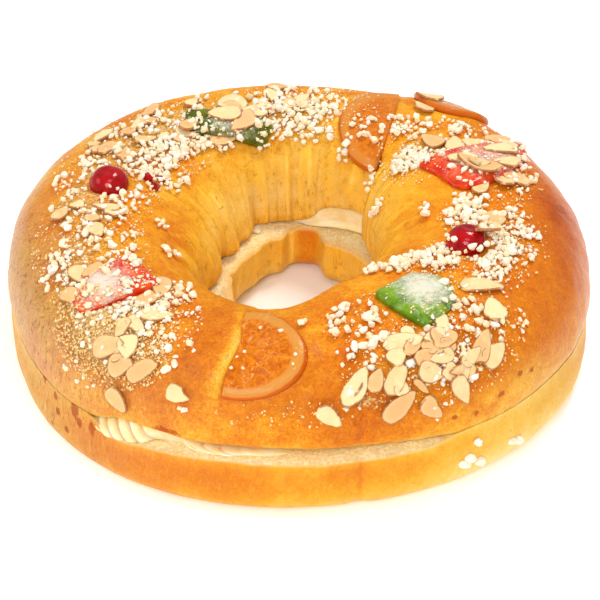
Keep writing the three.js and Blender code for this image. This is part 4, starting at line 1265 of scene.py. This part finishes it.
def makeSugar():
    rng = random.Random(5)
    grains = makeGrains(14, 2, 0.85, 5)
    bm = bmesh.new()
    taken = {}
    neighbours = list(itertools.product((-1, 0, 1), repeat=3))
    laid = 0
    for turn, climb, spanTurn, spanClimb, count, least, most in sugar["heaps"]:
        for _ in range(round(count * sugar["share"])):
            for attempt in range(12):
                t, c = thrown(rng, turn, climb, spanTurn, spanClimb)
                radius = lerp(0.8 * least, 1.1 * most, rng.random() ** 1.7) * sugar["scale"]
                if onCherry(t, c, 0.82):
                    continue
                at, along, up, out = crustFrame(t, c)
                cell = tuple(int(v // 6) for v in at)
                around = (tuple(map(sum, zip(cell, step))) for step in neighbours)
                near = [(other - at).length / (radius + size)
                        for key in around for other, size in taken.get(key, ())]
                if all(distance > 0.6 for distance in near):
                    taken.setdefault(cell, []).append((at, radius))
                    break
            else:
                continue
            piled = sum(distance < 0.85 for distance in near)
            above = fruitTop(t, c) + min(1, piled) * radius * 0.4
            spin = rng.uniform(0, 360)
            place = standing(t, c, radius * 0.5, spin, rng.uniform(-50, 50), rng.uniform(-50, 50), above)
            stamp(bm, rng.choice(grains), place @ Matrix.Scale(radius, 4), "tint", rng.random())
            laid += 1
    for turn, height in sugar["low"]:
        at = polar(turn, baseRadius(turn, 1) + 1.2, height)
        place = Matrix.Translation(inScene(at)) @ Matrix.Scale(0.001, 4)
        grain = rng.choice(grains)
        stamp(bm, grain, place @ Matrix.Scale(rng.uniform(2.1, 2.9), 4), "tint", 0.3 * rng.random())
    print(laid, "grains of pearl sugar")
    return makePiece("pearlSugar", bm, sugarFinish, smoothShade=False)


def makeFine(name, rows, least, most, seed, finish, squash=0.7):
    rng = random.Random(seed)
    grains = makeGrains(8, 1, squash, seed)
    bm = bmesh.new()
    for turn, climb, spanTurn, spanClimb, count in rows:
        for _ in range(count):
            t, c = thrown(rng, turn, climb, spanTurn, spanClimb)
            if onCherry(t, c, 1.1):
                continue
            radius = lerp(least, most, rng.random() ** 2)
            spin = rng.uniform(0, 360)
            tilt = rng.uniform(-90, 90) * squash
            place = standing(t, c, radius * 0.35, spin, tilt, 0, fruitTop(t, c))
            stamp(bm, rng.choice(grains), place @ Matrix.Scale(radius, 4), "tint", rng.random())
    return makePiece(name, bm, finish)


def makeSugarFinish(name, light, deep, weight):
    finish = Finish(name, Subsurface_Weight=weight, Subsurface_Radius=(1, 0.9, 0.75),
                    Subsurface_Scale=0.002, IOR=1.5)
    tint = finish.attribute("tint")
    fine = finish.grain(0.7, 2)
    colour = finish.mixed((tint * 0.7 + fine * 0.4).clamped(), light, deep)
    roughness = 0.45 + (fine - 0.5) * 0.3
    return finish.wear(Base_Color=colour, Roughness=roughness, Normal=finish.bump(fine, 0.15, 0.7))


sugarFinish = makeSugarFinish("pearlSugar", paint(255, 250, 238), paint(246, 218, 168), 0.3)
dustFinish = makeSugarFinish("sugarDust", paint(250, 236, 206), paint(240, 202, 136), 0.2)
nibFinish = makeSugarFinish("almondNibs", paint(252, 224, 164), paint(238, 190, 108), 0.15)
makeSugar()
makeFine("sugarDust", sugar["dust"], 0.35, 0.85, 21, dustFinish)
makeFine("almondNibs", sugar["nibs"], 0.3, 0.8, 22, nibFinish)
makeFine("creamyFlakes", sugar["creamy"], 0.9, 2.4, 23, sugarFinish, 0.35)


def makeCherryBits():
    # bits of cherry that show red through the sugar beside the left one
    grains = makeGrains(3, 3, 0.6, 31)
    bm = bmesh.new()
    places = ((163, 108, 3.4), (166.5, 114, 2.6), (160.5, 115, 2))
    for number, (turn, climb, radius) in enumerate(places):
        place = standing(turn, climb, 0.4, 40 * number, 0, 0) @ Matrix.Scale(radius, 4)
        stamp(bm, grains[number], place, "tint", 0)
    return makePiece("cherryBits", bm, cherryFinish)


makeCherryBits()

# The stage: a pale floor, soft lights and the camera where the photograph was taken from.
studio = {
    "floor": paint(250, 248, 246),
    "sky": 0.46,
    "glow": 0.32,  # painted light: the open floor glows with light of its own, as a lit white table would
    "glowFrom": (0.05, 0.16),  # metres from the middle where the glow sets in
    "lights": [  # place, size, power and colour
        ((0.35, 0.45, 1.1), 0.4, 7.6, (1, 0.99, 0.97)),
        ((-1.0, -0.15, 0.6), 0.7, 2.3, (1, 1, 1)),
        ((-0.15, -0.9, 0.72), 0.5, 5.6, (1, 1, 1)),
        ((0.05, -0.5, 1.1), 0.4, 1.4, (1, 1, 1)),
    ],
    "target": (-0.00065, 0.00095, 0.038),
    "elevation": 34.1,
    "distance": 1.0,
    "aim": (0.0014, -0.01493),  # how far the middle of the picture is from the target, as slopes
    "lens": 119.8,
}


def makeStage():
    bpy.ops.mesh.primitive_plane_add(size=6, location=(0, 0, 0))
    floor = bpy.context.object
    floor.name = "floor"
    finish = Finish("paleFloor", Roughness=0.8, Emission_Strength=studio["glow"])
    shade = finish.grain(400, 2)
    away = finish.node("ShaderNodeVectorMath", {"operation": "LENGTH"}, {0: finish.place}, "Value")
    # the painted glow is white away from the cake and only faint and warm under and inside the ring
    glow = finish.mixed(finish.step(away, *studio["glowFrom"]), (0.06, 0.04, 0.02, 1), (1, 1, 1, 1))
    colour = finish.mixed(shade * 0.1, studio["floor"], paint(255, 255, 255))
    floor.data.materials.append(finish.wear(Base_Color=colour, Emission_Color=glow))
    world = bpy.data.worlds.new("studio")
    world.use_nodes = True
    world.node_tree.nodes["Background"].inputs["Color"].default_value = (1, 1, 1, 1)
    world.node_tree.nodes["Background"].inputs["Strength"].default_value = studio["sky"]
    bpy.context.scene.world = world
    for number, (place, size, power, colour) in enumerate(studio["lights"]):
        light = bpy.data.lights.new(f"softbox{number}", "AREA")
        light.shape = "DISK"
        light.size = size
        light.energy = power
        light.color = colour
        lamp = bpy.data.objects.new(light.name, light)
        lamp.location = place
        lamp.rotation_euler = (Vector((0, 0, 0.04)) - Vector(place)).to_track_quat("-Z", "Y").to_euler()
        bpy.context.scene.collection.objects.link(lamp)
    angle = math.radians(studio["elevation"])
    forward = Vector((0, math.cos(angle), -math.sin(angle)))
    upward = Vector((0, math.sin(angle), math.cos(angle)))
    lens = bpy.data.cameras.new("camera")
    lens.lens = studio["lens"]
    lens.sensor_width = 36
    eye = bpy.data.objects.new("camera", lens)
    eye.location = Vector(studio["target"]) - forward * studio["distance"]
    across, down = studio["aim"]
    gaze = forward + Vector((1, 0, 0)) * across + upward * down
    eye.rotation_euler = gaze.to_track_quat("-Z", "Y").to_euler()
    bpy.context.scene.collection.objects.link(eye)
    bpy.context.scene.camera = eye
    bpy.context.scene.view_settings.view_transform = "Standard"
    bpy.context.scene.view_settings.look = "None"


makeStage()
print("stage made")
